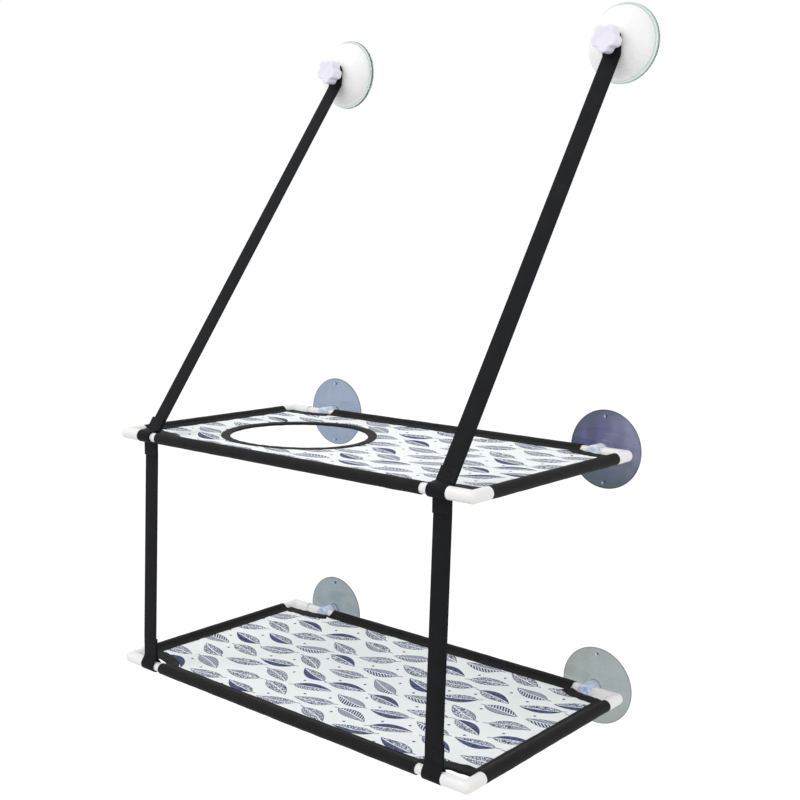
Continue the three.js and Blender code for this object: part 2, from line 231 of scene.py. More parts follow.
def painted(tree, shader, share, first, second):
    plug(tree, shader.inputs["Base Color"], mixed(tree, share, colour(*first), colour(*second)))


def roughened(tree, shader, place, scale, spread, least):
    plug(tree, shader.inputs["Roughness"], clouds(tree, place, scale) * spread + least)


def bumped(tree, shader, height, distance, strength=1.0):
    bump = put(tree, "Bump", Strength=strength, Distance=distance, Height=height)
    plug(tree, shader.inputs["Normal"], bump)


def plainWeave(across, along, pitch):
    # Over-and-under threads: each cell shows the rounded back of one thread.
    warp = (across * (math.pi / pitch)).math("SINE")
    weft = (along * (math.pi / pitch)).math("SINE")
    over = (warp * weft).over(0.0)
    return warp.size() * over + weft.size() * (1.0 - over)


# Finishes

pipeFinish = {
    "lit": (0.865, 0.855, 0.86),
    "worn": (0.84, 0.83, 0.79),
    "roughness": (0.3, 0.46),
    "mottle": {"scale": 38.0, "detail": 4.0, "start": 0.42, "gain": 3.2},
    "grain": 900.0,
    "grainDepth": 0.00004,
    "grainStrength": 0.5,
}


def makePipe():
    finish = pipeFinish
    material, tree, shader = newMaterial("whitePipe", SpecularIORLevel=0.5)
    place = surface(tree, "Object")
    # Random patches in a cream tone: painted shade and cream reflection spread over the pipe, with the
    # roughness following them.
    share = patches(tree, place, **finish["mottle"])
    painted(tree, shader, share, finish["lit"], finish["worn"])
    low, high = finish["roughness"]
    plug(tree, shader.inputs["Roughness"], share * (high - low) + low)
    bumped(tree, shader, clouds(tree, place, finish["grain"]), finish["grainDepth"], finish["grainStrength"])
    return material


# The print is a generic one of tossed leaves: some speckled, some veined, some with one solid half.
leafPrint = {
    "cellLong": 0.066,
    "cellDeep": 0.033,
    "seedRise": 0.2,  # decks further apart than this get other leaves
    "kindSeed": 3.0,
    "half": 0.0278,
    "width": 0.0113,
    "taper": 0.85,
    "narrowing": 0.3,
    "turn": 0.26,
    "turnSpread": 0.34,
    "shift": 0.0025,
    "bow": 0.0024,
    "bowCentre": 0.4,
    "midrib": 0.0006,
    "midribFrom": 0.12,
    "stem": 1.22,
    "stemFrom": 0.97,
    "rim": 0.0007,
    "specks": {"scale": 640.0, "detail": 1.0, "start": 0.415, "gain": 12.0},
    "veins": 0.0046,
    "veinSlant": 0.8,
    "veinGain": 2.6,
    "veinFill": 1.8,
    "veinedFrom": 0.52,
    "solidFrom": 0.72,
    "edge": 0.00025,
    "berry": 0.0021,
    "berryAside": 0.36,
    "berryUp": 0.31,
    "berryFrom": 0.3,
    "ink": (0.026, 0.043, 0.142),
    "wear": 240.0,
    "wearSpread": 0.3,
    "wearLeast": 0.8,
    "cloth": (0.94, 0.966, 0.972),
    "clothShade": (0.9, 0.932, 0.942),
    "folds": {"scale": 14.0, "detail": 3.0, "start": 0.45, "gain": 2.0},
    "foldShare": 0.6,
    "weave": 0.0008,
    "weaveDepth": 0.00014,
    "weaveStrength": 0.6,
    "frontInk": 1.0,
    "backInk": 0.16,
}


def leafInk(tree, place):
    leaves = leafPrint
    x, y, z = parted(tree, place)
    deckSeed = (z / leaves["seedRise"]).math("ROUND")
    row = (y / leaves["cellDeep"]).whole()
    pushed = x / leaves["cellLong"] + row.math("FLOORED_MODULO", 2.0) * 0.5
    column = pushed.whole()
    cell = put(tree, "CombineXYZ", X=column, Y=row, Z=deckSeed)
    first, second, third = parted(tree, put(tree, "TexWhiteNoise", outlet=1, Vector=cell))
    other = put(tree, "TexWhiteNoise", {"noise_dimensions": "4D"}, outlet=1,
                Vector=cell, W=leaves["kindSeed"])
    kind, flip, _ = parted(tree, other)

    # The place along a leaf and off its midrib; neighbours lean opposite ways.
    sign = (column + row).math("FLOORED_MODULO", 2.0) * 2.0 - 1.0
    turn = sign * leaves["turn"] + (first - 0.5) * leaves["turnSpread"]
    across = (pushed - column - 0.5) * leaves["cellLong"]
    up = (y / leaves["cellDeep"] - row - 0.5) * leaves["cellDeep"]
    leafX = across + (second - 0.5) * leaves["shift"] * 2.0
    leafY = up + (third - 0.5) * leaves["shift"]
    cosine = turn.math("COSINE")
    sine = turn.math("SINE")
    facing = flip.over(0.5) * 2.0 - 1.0
    along = (leafX * cosine + leafY * sine) * facing
    off = (leafY * cosine - leafX * sine) * facing

    # The blade, its rim and its midrib
    share = along / leaves["half"]
    off = off + (share * share - leaves["bowCentre"]) * leaves["bow"]
    taper = (1.0 - share * share).most(0.0).math("POWER", leaves["taper"])
    spread = taper * (1.0 - share * leaves["narrowing"]) * leaves["width"]
    width = off.size()
    edge = leaves["edge"]
    blade = ((spread - width) / edge).held()
    rim = 1.0 - (spread - width).past(leaves["rim"], edge)
    midrib = 1.0 - width.past(leaves["midrib"], edge)
    inside = (1.0 - share.size()).over(leaves["midribFrom"])

    # What fills it: specks, veins or one solid half
    speckled = patches(tree, place, **leaves["specks"])
    phase = (along + width * leaves["veinSlant"]) * (fullTurn / leaves["veins"])
    veined = (phase.math("SINE") * leaves["veinGain"] + leaves["veinFill"]).held()
    solid = (off / edge).held()
    fill = speckled + (veined - speckled) * kind.over(leaves["veinedFrom"])
    fill = fill + ((solid + speckled * (1.0 - solid)) - fill) * kind.over(leaves["solidFrom"])
    fill = fill * (1.0 - midrib * inside)
    leaf = blade * fill.most(rim)

    stem = midrib * (share * -1.0).over(leaves["stemFrom"]) * (share + leaves["stem"]).over(0.0)
    berryU = across + leaves["cellLong"] * leaves["berryAside"]
    berryV = up - sign * leaves["cellDeep"] * leaves["berryUp"]
    far = (berryU * berryU + berryV * berryV).math("SQRT")
    berry = ((leaves["berry"] - far) / edge).held() * kind.over(leaves["berryFrom"])
    return leaf.most(stem).most(berry)


def makePrint(name, strength):
    leaves = leafPrint
    material, tree, shader = newMaterial(name, Roughness=0.82, SpecularIORLevel=0.2)
    place = surface(tree, "Object")
    x, y, _ = parted(tree, place)
    folds = patches(tree, place, **leaves["folds"]) * leaves["foldShare"]
    cloth = mixed(tree, folds, colour(*leaves["cloth"]), colour(*leaves["clothShade"]))
    wear = clouds(tree, place, leaves["wear"]) * leaves["wearSpread"] + leaves["wearLeast"]
    ink = (leafInk(tree, place) * wear * strength).held()
    plug(tree, shader.inputs["Base Color"], mixed(tree, ink, cloth, colour(*leaves["ink"])))
    bumped(tree, shader, plainWeave(x, y, leaves["weave"]), leaves["weaveDepth"], leaves["weaveStrength"])
    return material


def woven(tree, shader, weave, finish):
    # The backs of the threads are painted paler than the gaps, a painted shade in the gaps, and some patches
    # are paler than others.
    patch = clouds(tree, surface(tree, "Object"), finish["patch"], finish["patchDetail"])
    share = (weave * finish["weaveShare"] + (patch - finish["patchFrom"]) * finish["patchShare"]).held()
    painted(tree, shader, share, finish["dark"], finish["light"])
    bumped(tree, shader, weave, finish["depth"], finish["strength"])


blackCloth = {
    "dark": (0.006, 0.0058, 0.0062),
    "light": (0.015, 0.0146, 0.0152),
    "pitch": 0.0007,
    "weaveShare": 0.5,
    "patch": 60.0,
    "patchDetail": 3.0,
    "patchFrom": 0.4,
    "patchShare": 1.2,
    "depth": 0.00016,
    "strength": 0.8,
}


def makeBlackCloth():
    material, tree, shader = newMaterial("edgeCloth", Roughness=0.62, SpecularIORLevel=0.14)
    across, along, _ = parted(tree, surface(tree, "UV"))
    woven(tree, shader, plainWeave(across, along, blackCloth["pitch"]), blackCloth)
    return material


webbingFinish = {
    "dark": (0.0065, 0.0068, 0.0085),
    "light": (0.0155, 0.016, 0.019),
    "rib": 0.0019,
    "ribShare": 0.65,
    "zigzag": 0.0076,
    "zigzagShift": 50.5,  # a half centres the zigzag, and the rest keeps the count above nought
    "pick": 0.0011,
    "pickShare": 0.35,
    "weaveShare": 0.6,
    "patch": 45.0,
    "patchDetail": 3.0,
    "patchFrom": 0.45,
    "patchShare": 0.9,
    "depth": 0.00022,
    "strength": 0.8,
}


def makeWebbing():
    # Twill ribs whose slant turns back and forth across the width.
    finish = webbingFinish
    material, tree, shader = newMaterial("webbing", Roughness=0.6, SpecularIORLevel=0.07)
    across, along, _ = parted(tree, surface(tree, "UV"))
    fold = (across / finish["zigzag"] + finish["zigzagShift"]).math("FRACT")
    slant = (fold - 0.5).size() * finish["zigzag"]
    rib = ((along + slant) * (math.pi / finish["rib"])).math("SINE").size()
    pick = (across * (math.pi / finish["pick"])).math("SINE").size()
    woven(tree, shader, rib * finish["ribShare"] + pick * finish["pickShare"], finish)
    return material


threadFinish = {"dark": (0.008, 0.008, 0.009), "light": (0.026, 0.026, 0.028), "twist": 2400.0}


def makeThread():
    material, tree, shader = newMaterial("thread", Roughness=0.5, SpecularIORLevel=0.2)
    twist = clouds(tree, surface(tree, "Object"), threadFinish["twist"])
    painted(tree, shader, twist, threadFinish["dark"], threadFinish["light"])
    return material


deckVinyl = {
    "rimAt": 0.0492,
    "rimSoft": 0.0012,
    "rimDark": 0.55,
    "rimTint": 0.35,
    "neckFrom": 0.0075,
    "neckSoft": 0.008,
    "neck": (0.46, 0.6, 0.97),
    "neckGlint": (0.9, 0.96, 1.0),
    "glintScale": 150.0,
    "glintGain": 2.6,
    "clear": 0.92,
    "neckClear": 0.12,
    # the painted highlight on the nubs' tops
    "nub": (0.7, 0.76, 0.93),
    "nubFrom": 0.03,
    "nubRise": 0.0048,
    "fadeFrom": 0.004,
    "fadeReach": 0.045,
    "flankFrom": -0.012,
    "flankReach": 0.05,
    "drift": 40.0,
    "driftReach": 0.08,
    "outerFrom": 0.03,
    "outerReach": 0.022,
    "streakWide": 62.0,
    "streakTall": 19.0,
    "streaks": {"scale": 1.0, "detail": 3.0, "start": 0.32, "gain": 2.4},
    "rough": {"scale": 130.0, "spread": 0.08, "least": 0.06},
    "ripple": 70.0,
    "rippleDepth": 0.0003,
    "rippleStrength": 0.25,
}
# The cups are one vinyl. Their different tints are painted light and shade: the upper right cup, seen against
# shadow, is painted darkest.
cupFinish = {
    "upper_right_cup": {
        "name": "slateVinyl", "tint": (0.075, 0.09, 0.155), "streak": (0.135, 0.13, 0.3),
        "foot": (0.068, 0.095, 0.125), "flank": (0.215, 0.225, 0.335), "gleam": 0.85,
    },
    "upper_left_cup": {
        "name": "skyVinyl", "tint": (0.3, 0.375, 0.5), "streak": (0.36, 0.43, 0.54),
        "foot": (0.28, 0.35, 0.47), "flank": (0.33, 0.4, 0.53), "gleam": 0.6,
    },
    "lower_right_cup": {
        "name": "mistVinyl", "tint": (0.33, 0.4, 0.4), "streak": (0.4, 0.44, 0.45),
        "foot": (0.33, 0.36, 0.34), "flank": (0.38, 0.43, 0.44), "gleam": 0.45,
    },
    "lower_left_cup": {
        "name": "greyVinyl", "tint": (0.26, 0.335, 0.37), "streak": (0.32, 0.375, 0.42),
        "foot": (0.28, 0.34, 0.36), "flank": (0.31, 0.37, 0.39), "gleam": 0.5,
    },
}


def refractionStreaks(tree, place):
    # Painted refraction: streaks inside the vinyl, drawn out up and down.
    x, y, z = parted(tree, place)
    wide, tall = deckVinyl["streakWide"], deckVinyl["streakTall"]
    drawn = put(tree, "CombineXYZ", X=x * wide, Y=y * wide, Z=z * tall)
    return patches(tree, drawn, **deckVinyl["streaks"])


def makeDeckVinyl(cup, name, tint, streak, foot, flank, gleam):
    # The UV map holds the distance from the cup's middle and the height off the pane.
    # The disc is painted in another tone towards its foot and its outside, and paler towards its right edge:
    # painted light and shade across the disc.
    # The gleam is how much of the neck is lit up.
    vinyl = deckVinyl
    material, tree, shader = newMaterial(name, IOR=1.42, SpecularIORLevel=0.5)
    place = surface(tree, "Object")
    out, height, _ = parted(tree, surface(tree, "UV"))
    aside, _, up = parted(tree, place)
    centre = middle(cup)
    drift = (clouds(tree, place, vinyl["drift"]) - 0.5) * vinyl["driftReach"]
    right = (aside + drift).past(centre.x + vinyl["flankFrom"], vinyl["flankReach"])
    footShade = ((centre.z + vinyl["fadeFrom"] - up + drift) / vinyl["fadeReach"]).held()
    outer = out.past(vinyl["outerFrom"], vinyl["outerReach"]) * (1.0 - right)
    # A painted dark edge at the rim, standing for the refraction at its thin lip.
    rim = out.past(vinyl["rimAt"], vinyl["rimSoft"]) * vinyl["rimDark"]
    # Painted highlight on the nubs' tops.
    nub = out.over(vinyl["nubFrom"]) * height.over(vinyl["nubRise"])
    rimShade = [share * vinyl["rimTint"] for share in tint]
    disc = mixed(tree, refractionStreaks(tree, place), colour(*tint), colour(*streak))
    for share, shade in ((right, flank), (footShade, foot), (outer, foot), (rim, rimShade), (nub, vinyl["nub"])):
        disc = mixed(tree, share, disc, colour(*shade))
    neck = height.past(vinyl["neckFrom"], vinyl["neckSoft"])
    glint = ((clouds(tree, place, vinyl["glintScale"]) - 0.5) * vinyl["glintGain"] + gleam).held()
    lit = mixed(tree, glint, colour(*vinyl["neck"]), colour(*vinyl["neckGlint"]))
    plug(tree, shader.inputs["Base Color"], mixed(tree, neck, disc, lit))
    clear = neck * (vinyl["neckClear"] - vinyl["clear"]) + vinyl["clear"]
    plug(tree, shader.inputs["Transmission Weight"], clear)
    roughened(tree, shader, place, **vinyl["rough"])
    bumped(tree, shader, clouds(tree, place, vinyl["ripple"]), vinyl["rippleDepth"], vinyl["rippleStrength"])
    return material


anchorVinyl = {
    "body": (0.89, 0.96, 0.935),
    "line": (0.34, 0.47, 0.42),
    "lines": (0.0475, 0.0451),
    "lineHalf": 0.0007,
    "haze": 60.0,
    "hazeShare": 0.3,
    "ripple": 80.0,
    "rippleDepth": 0.0002,
    "rippleStrength": 0.2,
}


def makeAnchorVinyl():
    # Nearly colourless, with two painted green lines where the rim's edges are seen edge on, standing for the
    # refraction there.
    vinyl = anchorVinyl
    material, tree, shader = newMaterial(
        "clearVinyl", TransmissionWeight=0.9, IOR=1.42, SpecularIORLevel=0.5, Roughness=0.05)
    place = surface(tree, "Object")
    out, _, _ = parted(tree, surface(tree, "UV"))
    near, far = ((1.0 - (out - radius).size() / vinyl["lineHalf"]).held() for radius in vinyl["lines"])
    share = (near.most(far) + clouds(tree, place, vinyl["haze"]) * vinyl["hazeShare"]).held()
    painted(tree, shader, share, vinyl["body"], vinyl["line"])
    bumped(tree, shader, clouds(tree, place, vinyl["ripple"]), vinyl["rippleDepth"], vinyl["rippleStrength"])
    return material


plasticFinish = {
    "drift": {"scale": 30.0, "detail": 3.0, "start": 0.4, "gain": 2.5},
    "rough": {"scale": 220.0, "spread": 0.12},
    "grain": 1100.0,
    "grainDepth": 0.00003,
    "grainStrength": 0.4,
}


def makePlastic(name, lit, shade, roughness):
    finish = plasticFinish
    material, tree, shader = newMaterial(name, SpecularIORLevel=0.5, CoatWeight=0.15, CoatRoughness=0.2)
    place = surface(tree, "Object")
    painted(tree, shader, patches(tree, place, **finish["drift"]), lit, shade)
    roughened(tree, shader, place, least=roughness, **finish["rough"])
    bumped(tree, shader, clouds(tree, place, finish["grain"]), finish["grainDepth"], finish["grainStrength"])
    return material


zincFinish = {
    "bright": (0.62, 0.63, 0.65),
    "dull": (0.47, 0.48, 0.5),
    "spangle": 900.0,
    "rough": {"scale": 500.0, "spread": 0.2, "least": 0.24},
}


def makeZinc():
    material, tree, shader = newMaterial("zincSteel", Metallic=1.0, Anisotropic=0.3)
    place = surface(tree, "Object")
    spangle = put(tree, "TexVoronoi", Vector=place, Scale=zincFinish["spangle"])
    painted(tree, shader, spangle, zincFinish["bright"], zincFinish["dull"])
    roughened(tree, shader, place, **zincFinish["rough"])
    return material


whitePipe = makePipe()
printedCloth = makePrint("printedCloth", leafPrint["frontInk"])
clothBack = makePrint("clothBack", leafPrint["backInk"])
edgeCloth = makeBlackCloth()
webbingCloth = makeWebbing()
threadCloth = makeThread()
cupVinyl = {cup: makeDeckVinyl(cup, **finish) for cup, finish in cupFinish.items()}
clearVinyl = makeAnchorVinyl()
coverPlastic = makePlastic("coverPlastic", (0.935, 0.93, 0.93), (0.9, 0.89, 0.892), 0.22)
knobPlastic = makePlastic("knobPlastic", (0.84, 0.815, 0.92), (0.8, 0.775, 0.89), 0.34)
zincSteel = makeZinc()
print("materials made")


# Mesh tools

toRoom = Matrix.Rotation(math.pi / 2, 4, "X")  # what was turned about z points into the room
alongX = Matrix.Rotation(math.pi / 2, 4, "Y")
alongY = Matrix.Rotation(-math.pi / 2, 4, "X")
sharpAngle = 35


def shaped(bm, matrix):
    bmesh.ops.transform(bm, matrix=matrix, verts=bm.verts)
    return bm


def pieceName(node):
    first, *rest = node.split("_")
    return first + "".join(word.capitalize() for word in rest)


def addPiece(bm, node, slot, *materials, ridden=True):
    # The piece stands for its CAD node and rides on that node's body, unless it is not ridden, when it rides
    # on none.
    mesh = bpy.data.meshes.new(pieceName(node))
    bm.to_mesh(mesh)
    bm.free()
    for material in materials:
        mesh.materials.append(material)
    mesh.shade_smooth()
    mesh.set_sharp_from_angle(angle=math.radians(sharpAngle))
    piece = bpy.data.objects.new(pieceName(node), mesh)
    bpy.context.scene.collection.objects.link(piece)
    if ridden:
        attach(piece, bodyOf[node])
    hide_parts(node)
    return piece


def arc(radius, start, end, steps, centre=(0, 0)):
    return [
        Vector((centre[0] + radius * math.cos(start + (end - start) * i / steps),
                centre[1] + radius * math.sin(start + (end - start) * i / steps)))
        for i in range(steps + 1)
    ]


def turned(points, steps=72, closed=False):
    # Pairs of radius and height, spun about z.
    bm = bmesh.new()
    verts = [bm.verts.new((radius, 0, height)) for radius, height in points]
    pairs = list(zip(verts, verts[1:]))
    if closed:
        pairs.append((verts[-1], verts[0]))
    edges = [bm.edges.new(pair) for pair in pairs]
    bmesh.ops.spin(bm, geom=verts + edges, axis=(0, 0, 1), cent=(0, 0, 0),
                   angle=fullTurn, steps=steps, use_merge=True)
    bmesh.ops.remove_doubles(bm, verts=bm.verts, dist=mergeWithin)
    bmesh.ops.recalc_face_normals(bm, faces=bm.faces)
    return bm


def rod(radius, low, high, steps):
    return turned([(0, low), (radius, low), (radius, high), (0, high)], steps)


def hollowRod(inner, outer, low, high, steps):
    return turned([(inner, low), (outer, low), (outer, high), (inner, high)], steps, closed=True)


def radialUv(bm):
    # The distance from the z axis and the height, in metres.
    uv = bm.loops.layers.uv.verify()
    for face in bm.faces:
        for loop in face.loops:
            loop[uv].uv = (loop.vert.co.xy.length, loop.vert.co.z)
    return bm


def eased(bm, width, segments=2, angle=40):
    # Rounds every edge sharper than the angle.
    sharp = [e for e in bm.edges if len(e.link_faces) == 2 and e.calc_face_angle() > math.radians(angle)]
    bmesh.ops.bevel(bm, geom=sharp, offset=width, segments=segments, profile=0.5,
                    affect="EDGES", material=-1, clamp_overlap=True)
    return bm


def combined(bm, tool, operation="DIFFERENCE"):
    # One exact cut or join.
    holders = []
    for shape in (bm, tool):
        mesh = bpy.data.meshes.new("scratch")
        shape.to_mesh(mesh)
        shape.free()
        holder = bpy.data.objects.new("scratch", mesh)
        bpy.context.scene.collection.objects.link(holder)
        holders.append(holder)
    modifier = holders[0].modifiers.new("combine", "BOOLEAN")
    modifier.operation = operation
    modifier.solver = "EXACT"
    modifier.object = holders[1]
    result = bmesh.new()
    result.from_object(holders[0], bpy.context.evaluated_depsgraph_get())
    for holder in holders:
        mesh = holder.data
        bpy.data.objects.remove(holder)
        bpy.data.meshes.remove(mesh)
    return result


def rounded(corners, radii, step):
    # A line through corners, each turned on its own radius, with points at most a step apart.
    points = [corners[0]]
    for before, corner, after, radius in zip(corners, corners[1:], corners[2:], radii):
        inward = (corner - before).normalized()
        outward = (after - corner).normalized()
        turn = math.atan2(inward.x * outward.y - inward.y * outward.x, inward.dot(outward))
        if radius == 0 or abs(turn) < 1e-4:
            points.append(corner)
            continue
        start = corner - inward * radius * math.tan(abs(turn) / 2)
        arm = Vector((inward.y, -inward.x)) * math.copysign(radius, turn)
        steps = max(2, math.ceil(abs(turn) / 0.2))
        for i in range(steps + 1):
            points.append(start - arm + Matrix.Rotation(turn * i / steps, 2) @ arm)
    points.append(corners[-1])
    return spaced(points, step)


def spaced(points, step):
    line = [points[0]]
    for before, after in zip(points, points[1:]):
        count = max(1, math.ceil((after - before).length / step))
        line += [before.lerp(after, i / count) for i in range(1, count + 1)]
    return line


def headings(line, ring=False):
    # The way ahead at each point. A ring's last point is its first again.
    before = [line[-2] if ring else line[0], *line[:-1]]
    after = [*line[1:], line[1] if ring else line[-1]]
    return [(end - start).normalized() for start, end in zip(before, after)]


def turnedTo(x, y, z):
    # The turn that takes the three axes to these.
    return Matrix((x, y, z)).transposed().to_4x4()


def thickened(line, thickness):
    # The closed outline of cloth laid along a line, as (x, y, distance along the line), with round ends.
    half = thickness / 2
    cap = half * 0.6
    aheads = headings(line)
    near, far = [], []
    distance = 0
    previous = line[0]
    for point, ahead in zip(line, aheads):
        distance += (point - previous).length
        previous = point
        out = Vector((-ahead.y, ahead.x)) * half
        near.append((*(point + out), distance))
        far.append((*(point - out), distance))
    first = (*(line[0] - aheads[0] * cap), 0)
    last = (*(line[-1] + aheads[-1] * cap), distance)
    return [first, *near, last, *far[::-1]]


def swept(section, stations, ring=False):
    # A closed section of (x, y, u) points carried along matrices. UVs are u and the distance run, in metres.
    bm = bmesh.new()
    wide = bm.verts.layers.float.new("wide")
    run = bm.verts.layers.float.new("run")
    start = []
    for x, y, u in section:
        vert = bm.verts.new(stations[0] @ Vector((x, y, 0)))
        vert[wide] = u
        start.append(vert)
    edges = [bm.edges.new((start[i - 1], start[i])) for i in range(len(start))]
    ends = list(edges)
    distance = 0
    for before, after in zip(stations, stations[1:]):
        distance += (after.translation - before.translation).length
        made = bmesh.ops.extrude_edge_only(bm, edges=edges)["geom"]
        edges = [g for g in made if isinstance(g, bmesh.types.BMEdge) and g.is_boundary]
        step = after @ before.inverted()
        for vert in (g for g in made if isinstance(g, bmesh.types.BMVert)):
            vert.co = step @ vert.co
            vert[run] = distance
    if not ring:
        bmesh.ops.edgeloop_fill(bm, edges=ends + edges)
    uv = bm.loops.layers.uv.new("UVMap")
    for face in bm.faces:
        for loop in face.loops:
            loop[uv].uv = (loop.vert[wide], loop.vert[run])
    if ring:
        bmesh.ops.remove_doubles(bm, verts=bm.verts, dist=mergeWithin)
    bmesh.ops.recalc_face_normals(bm, faces=bm.faces)
    return bm


stitchShape = {"length": 0.0026, "pitch": 0.0038, "width": 0.0006, "height": 0.0005}


def stitched(bm, line, outs, material=1):
    # A row of thread bumps along a line of points, each lying on the cloth; outs are the cloth's normals.
    travelled = 0
    due = stitchShape["pitch"] / 2
    for before, after, out in zip(line, line[1:], outs):
        span = (after - before).length
        while due <= travelled + span:
            ahead = (after - before).normalized()
            across = out.cross(ahead).normalized()
            place = before.lerp(after, (due - travelled) / span)
            lie = turnedTo(ahead, across, ahead.cross(across))
            half = (stitchShape["length"] / 2, stitchShape["width"] / 2, stitchShape["height"] / 2, 1)
            matrix = Matrix.Translation(place) @ lie @ Matrix.Diagonal(half)
            made = bmesh.ops.create_icosphere(bm, subdivisions=1, radius=1, matrix=matrix)
            for face in {f for v in made["verts"] for f in v.link_faces}:
                face.material_index = material
            due += stitchShape["pitch"]
        travelled += span


# Tubes and elbows

tube = {"radius": 0.006, "wall": 0.0012, "sides": 40, "edge": 0.0003}
elbow = {"radius": 0.0074, "bore": 0.0036, "socket": 0.0193, "sides": 48, "edge": 0.0009, "beyond": 1.2}


def addTube(node):
    low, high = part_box(node)
    size = high - low
    half = max(size) / 2
    shell = hollowRod(tube["radius"] - tube["wall"], tube["radius"], -half, half, tube["sides"])
    bm = eased(shell, tube["edge"])
    lie = alongX if size.x > size.y else alongY
    addPiece(shaped(bm, Matrix.Translation(middle(node)) @ lie), node, "white_pipe", whitePipe)


def elbowArm(length, lie, ball=False):
    # A closed socket from the corner out, with its rim rounded, and the ball of the corner at its foot.
    radius, edge = elbow["radius"], elbow["edge"]
    foot = arc(radius, -math.pi / 2, 0, 16) if ball else [(0, 0), (radius, 0)]
    rim = arc(edge, 0, math.pi / 2, 5, (radius - edge, length - edge))
    return shaped(turned([*foot, *rim, (0, length)], elbow["sides"]), lie)


def elbowBore(length, lie):
    inner, socket = elbow["bore"], tube["radius"] + gap
    start, end = length - elbow["socket"], length * elbow["beyond"]
    points = [(0, 0), (inner, 0), (inner, start), (socket, start), (socket, end), (0, end)]
    return shaped(turned(points, elbow["sides"]), lie)


def addElbow(corner):
    # Two sockets that meet in a ball, so the corner is sharp inside and round outside.
    node = corner["name"] + "_elbow"
    low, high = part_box(node)
    inX, inY = corner["inX"], corner["inY"]
    armX = abs((high.x if inX > 0 else low.x) - corner["x"])
    armY = abs((high.y if inY > 0 else low.y) - corner["y"])
    bm = combined(elbowArm(armX, alongX, ball=True), elbowArm(armY, alongY), "UNION")
    for length, lie in ((armX, alongX), (armY, alongY)):
        bm = combined(bm, elbowBore(length, lie))
    place = Matrix.Translation((corner["x"], corner["y"], corner["z"]))
    shaped(bm, place @ Matrix.Diagonal((inX, inY, 1, 1)))
    bmesh.ops.recalc_face_normals(bm, faces=bm.faces)
    addPiece(bm, node, "white_pipe", whitePipe)


# The black tape that edges the cut corners and the climb-through hole
tape = {
    "width": 0.012,
    "cornerWidth": 0.017,
    "frontDeep": 0.024,
    "backDeep": 0.018,
    "power": 2.4,
    "tuckedX": 0.0095,
    "tuckedY": 0.008,
    "cloth": 0.001,
    "layer": 0.0011,  # from the sling's middle to the middle of one layer
    "stitchIn": 0.0028,
    "step": 0.0022,
    "wave": 0.0004,
    "wave": 0.0004,
    "waveLong": 0.012,
    "driftLong": 0.009,
    "pucker": 0.0009,
    "puckerLong": 0.0075,
    "cornerSteps": 48,
    "holeSteps": 288,
}


def deckPlan(name):
    # Where one deck's corners, edges and cut-outs lie, read from its CAD nodes.
    left, right = middle(f"{name}_left_tube").x, middle(f"{name}_right_tube").x
    front, back = middle(f"{name}_front_tube"), middle(f"{name}_back_tube")
    slingLow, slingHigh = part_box(f"{name}_sling")
    corners = []
    for end, y, inY in (("front", front.y, 1), ("back", back.y, -1)):
        sleeveLow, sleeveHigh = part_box(f"{name}_{end}_sleeve")
        bare = {"left": (left, 1, sleeveLow.x - left), "right": (right, -1, right - sleeveHigh.x)}
        for side, (x, inX, wide) in bare.items():
            corners.append({"name": f"{name}_{end}_{side}", "x": x, "y": y, "z": front.z,
                            "inX": inX, "inY": inY, "wide": wide, "deep": tape[end + "Deep"]})
    return {
        "name": name,
        "level": front.z,
        "midY": (front.y + back.y) / 2,
        "halfWide": (slingHigh.x - slingLow.x) / 2,
        "halfDeep": (slingHigh.y - slingLow.y) / 2,
        "corners": corners,
    }


plans = {name: deckPlan(name) for name in ("upper", "lower")}
for plan in plans.values():
    for side in sides:
        addTube(f"{plan['name']}_{side}_tube")
    for corner in plan["corners"]:
        addElbow(corner)
print("tubes and elbows made")


# Slings

sling = {
    "cell": 0.003,
    "cloth": 0.0011,
    "sag": 0.006,
    "tucked": 0.0028,
    "seamPucker": 0.0011,
    "seamWave": 0.017,
    "seamReach": 0.011,
    "broadFold": 0.0012,
    "cornerFold": 0.0011,
    "cornerReach": 0.075,
    "tapeFade": 0.01,
    "innerReach": 0.03,
    "broadWide": 0.1,
    "broadDeep": 0.055,
    "cornerRays": 11,
    "rayDrift": 0.05,
    "rayBend": 2,
    "holeRays": 5,
    "holeShare": 0.8,
    "snapWithin": 0.6,  # of a cell, from a cut edge
    "faceUp": 0.3,
}
holeLow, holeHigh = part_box("upper_hole_binding")
hole = {
    "centre": ((holeLow + holeHigh) / 2).xy,
    "radius": (holeHigh.x - holeLow.x) / 2 - tape["width"],
}


def sagAt(plan, x, y):
    across = min(abs(x) / plan["halfWide"], 1)
    deep = min(abs(y - plan["midY"]) / plan["halfDeep"], 1)
    return -sling["sag"] * (1 - across ** 2) * (1 - deep ** 2)


def swell(distance, reach):
    # Nothing at the seam, most at the reach, and fading beyond it.
    share = max(distance, 0) / reach
    return share * math.exp(1 - share)


def fromCorner(corner, x, y):
    # How far a place lies inwards from a corner, along x and along y.
    return (x - corner["x"]) * corner["inX"], (y - corner["y"]) * corner["inY"]


def intoDeck(corner, dx, dy):
    return Vector((corner["x"] + dx * corner["inX"], corner["y"] + dy * corner["inY"]))


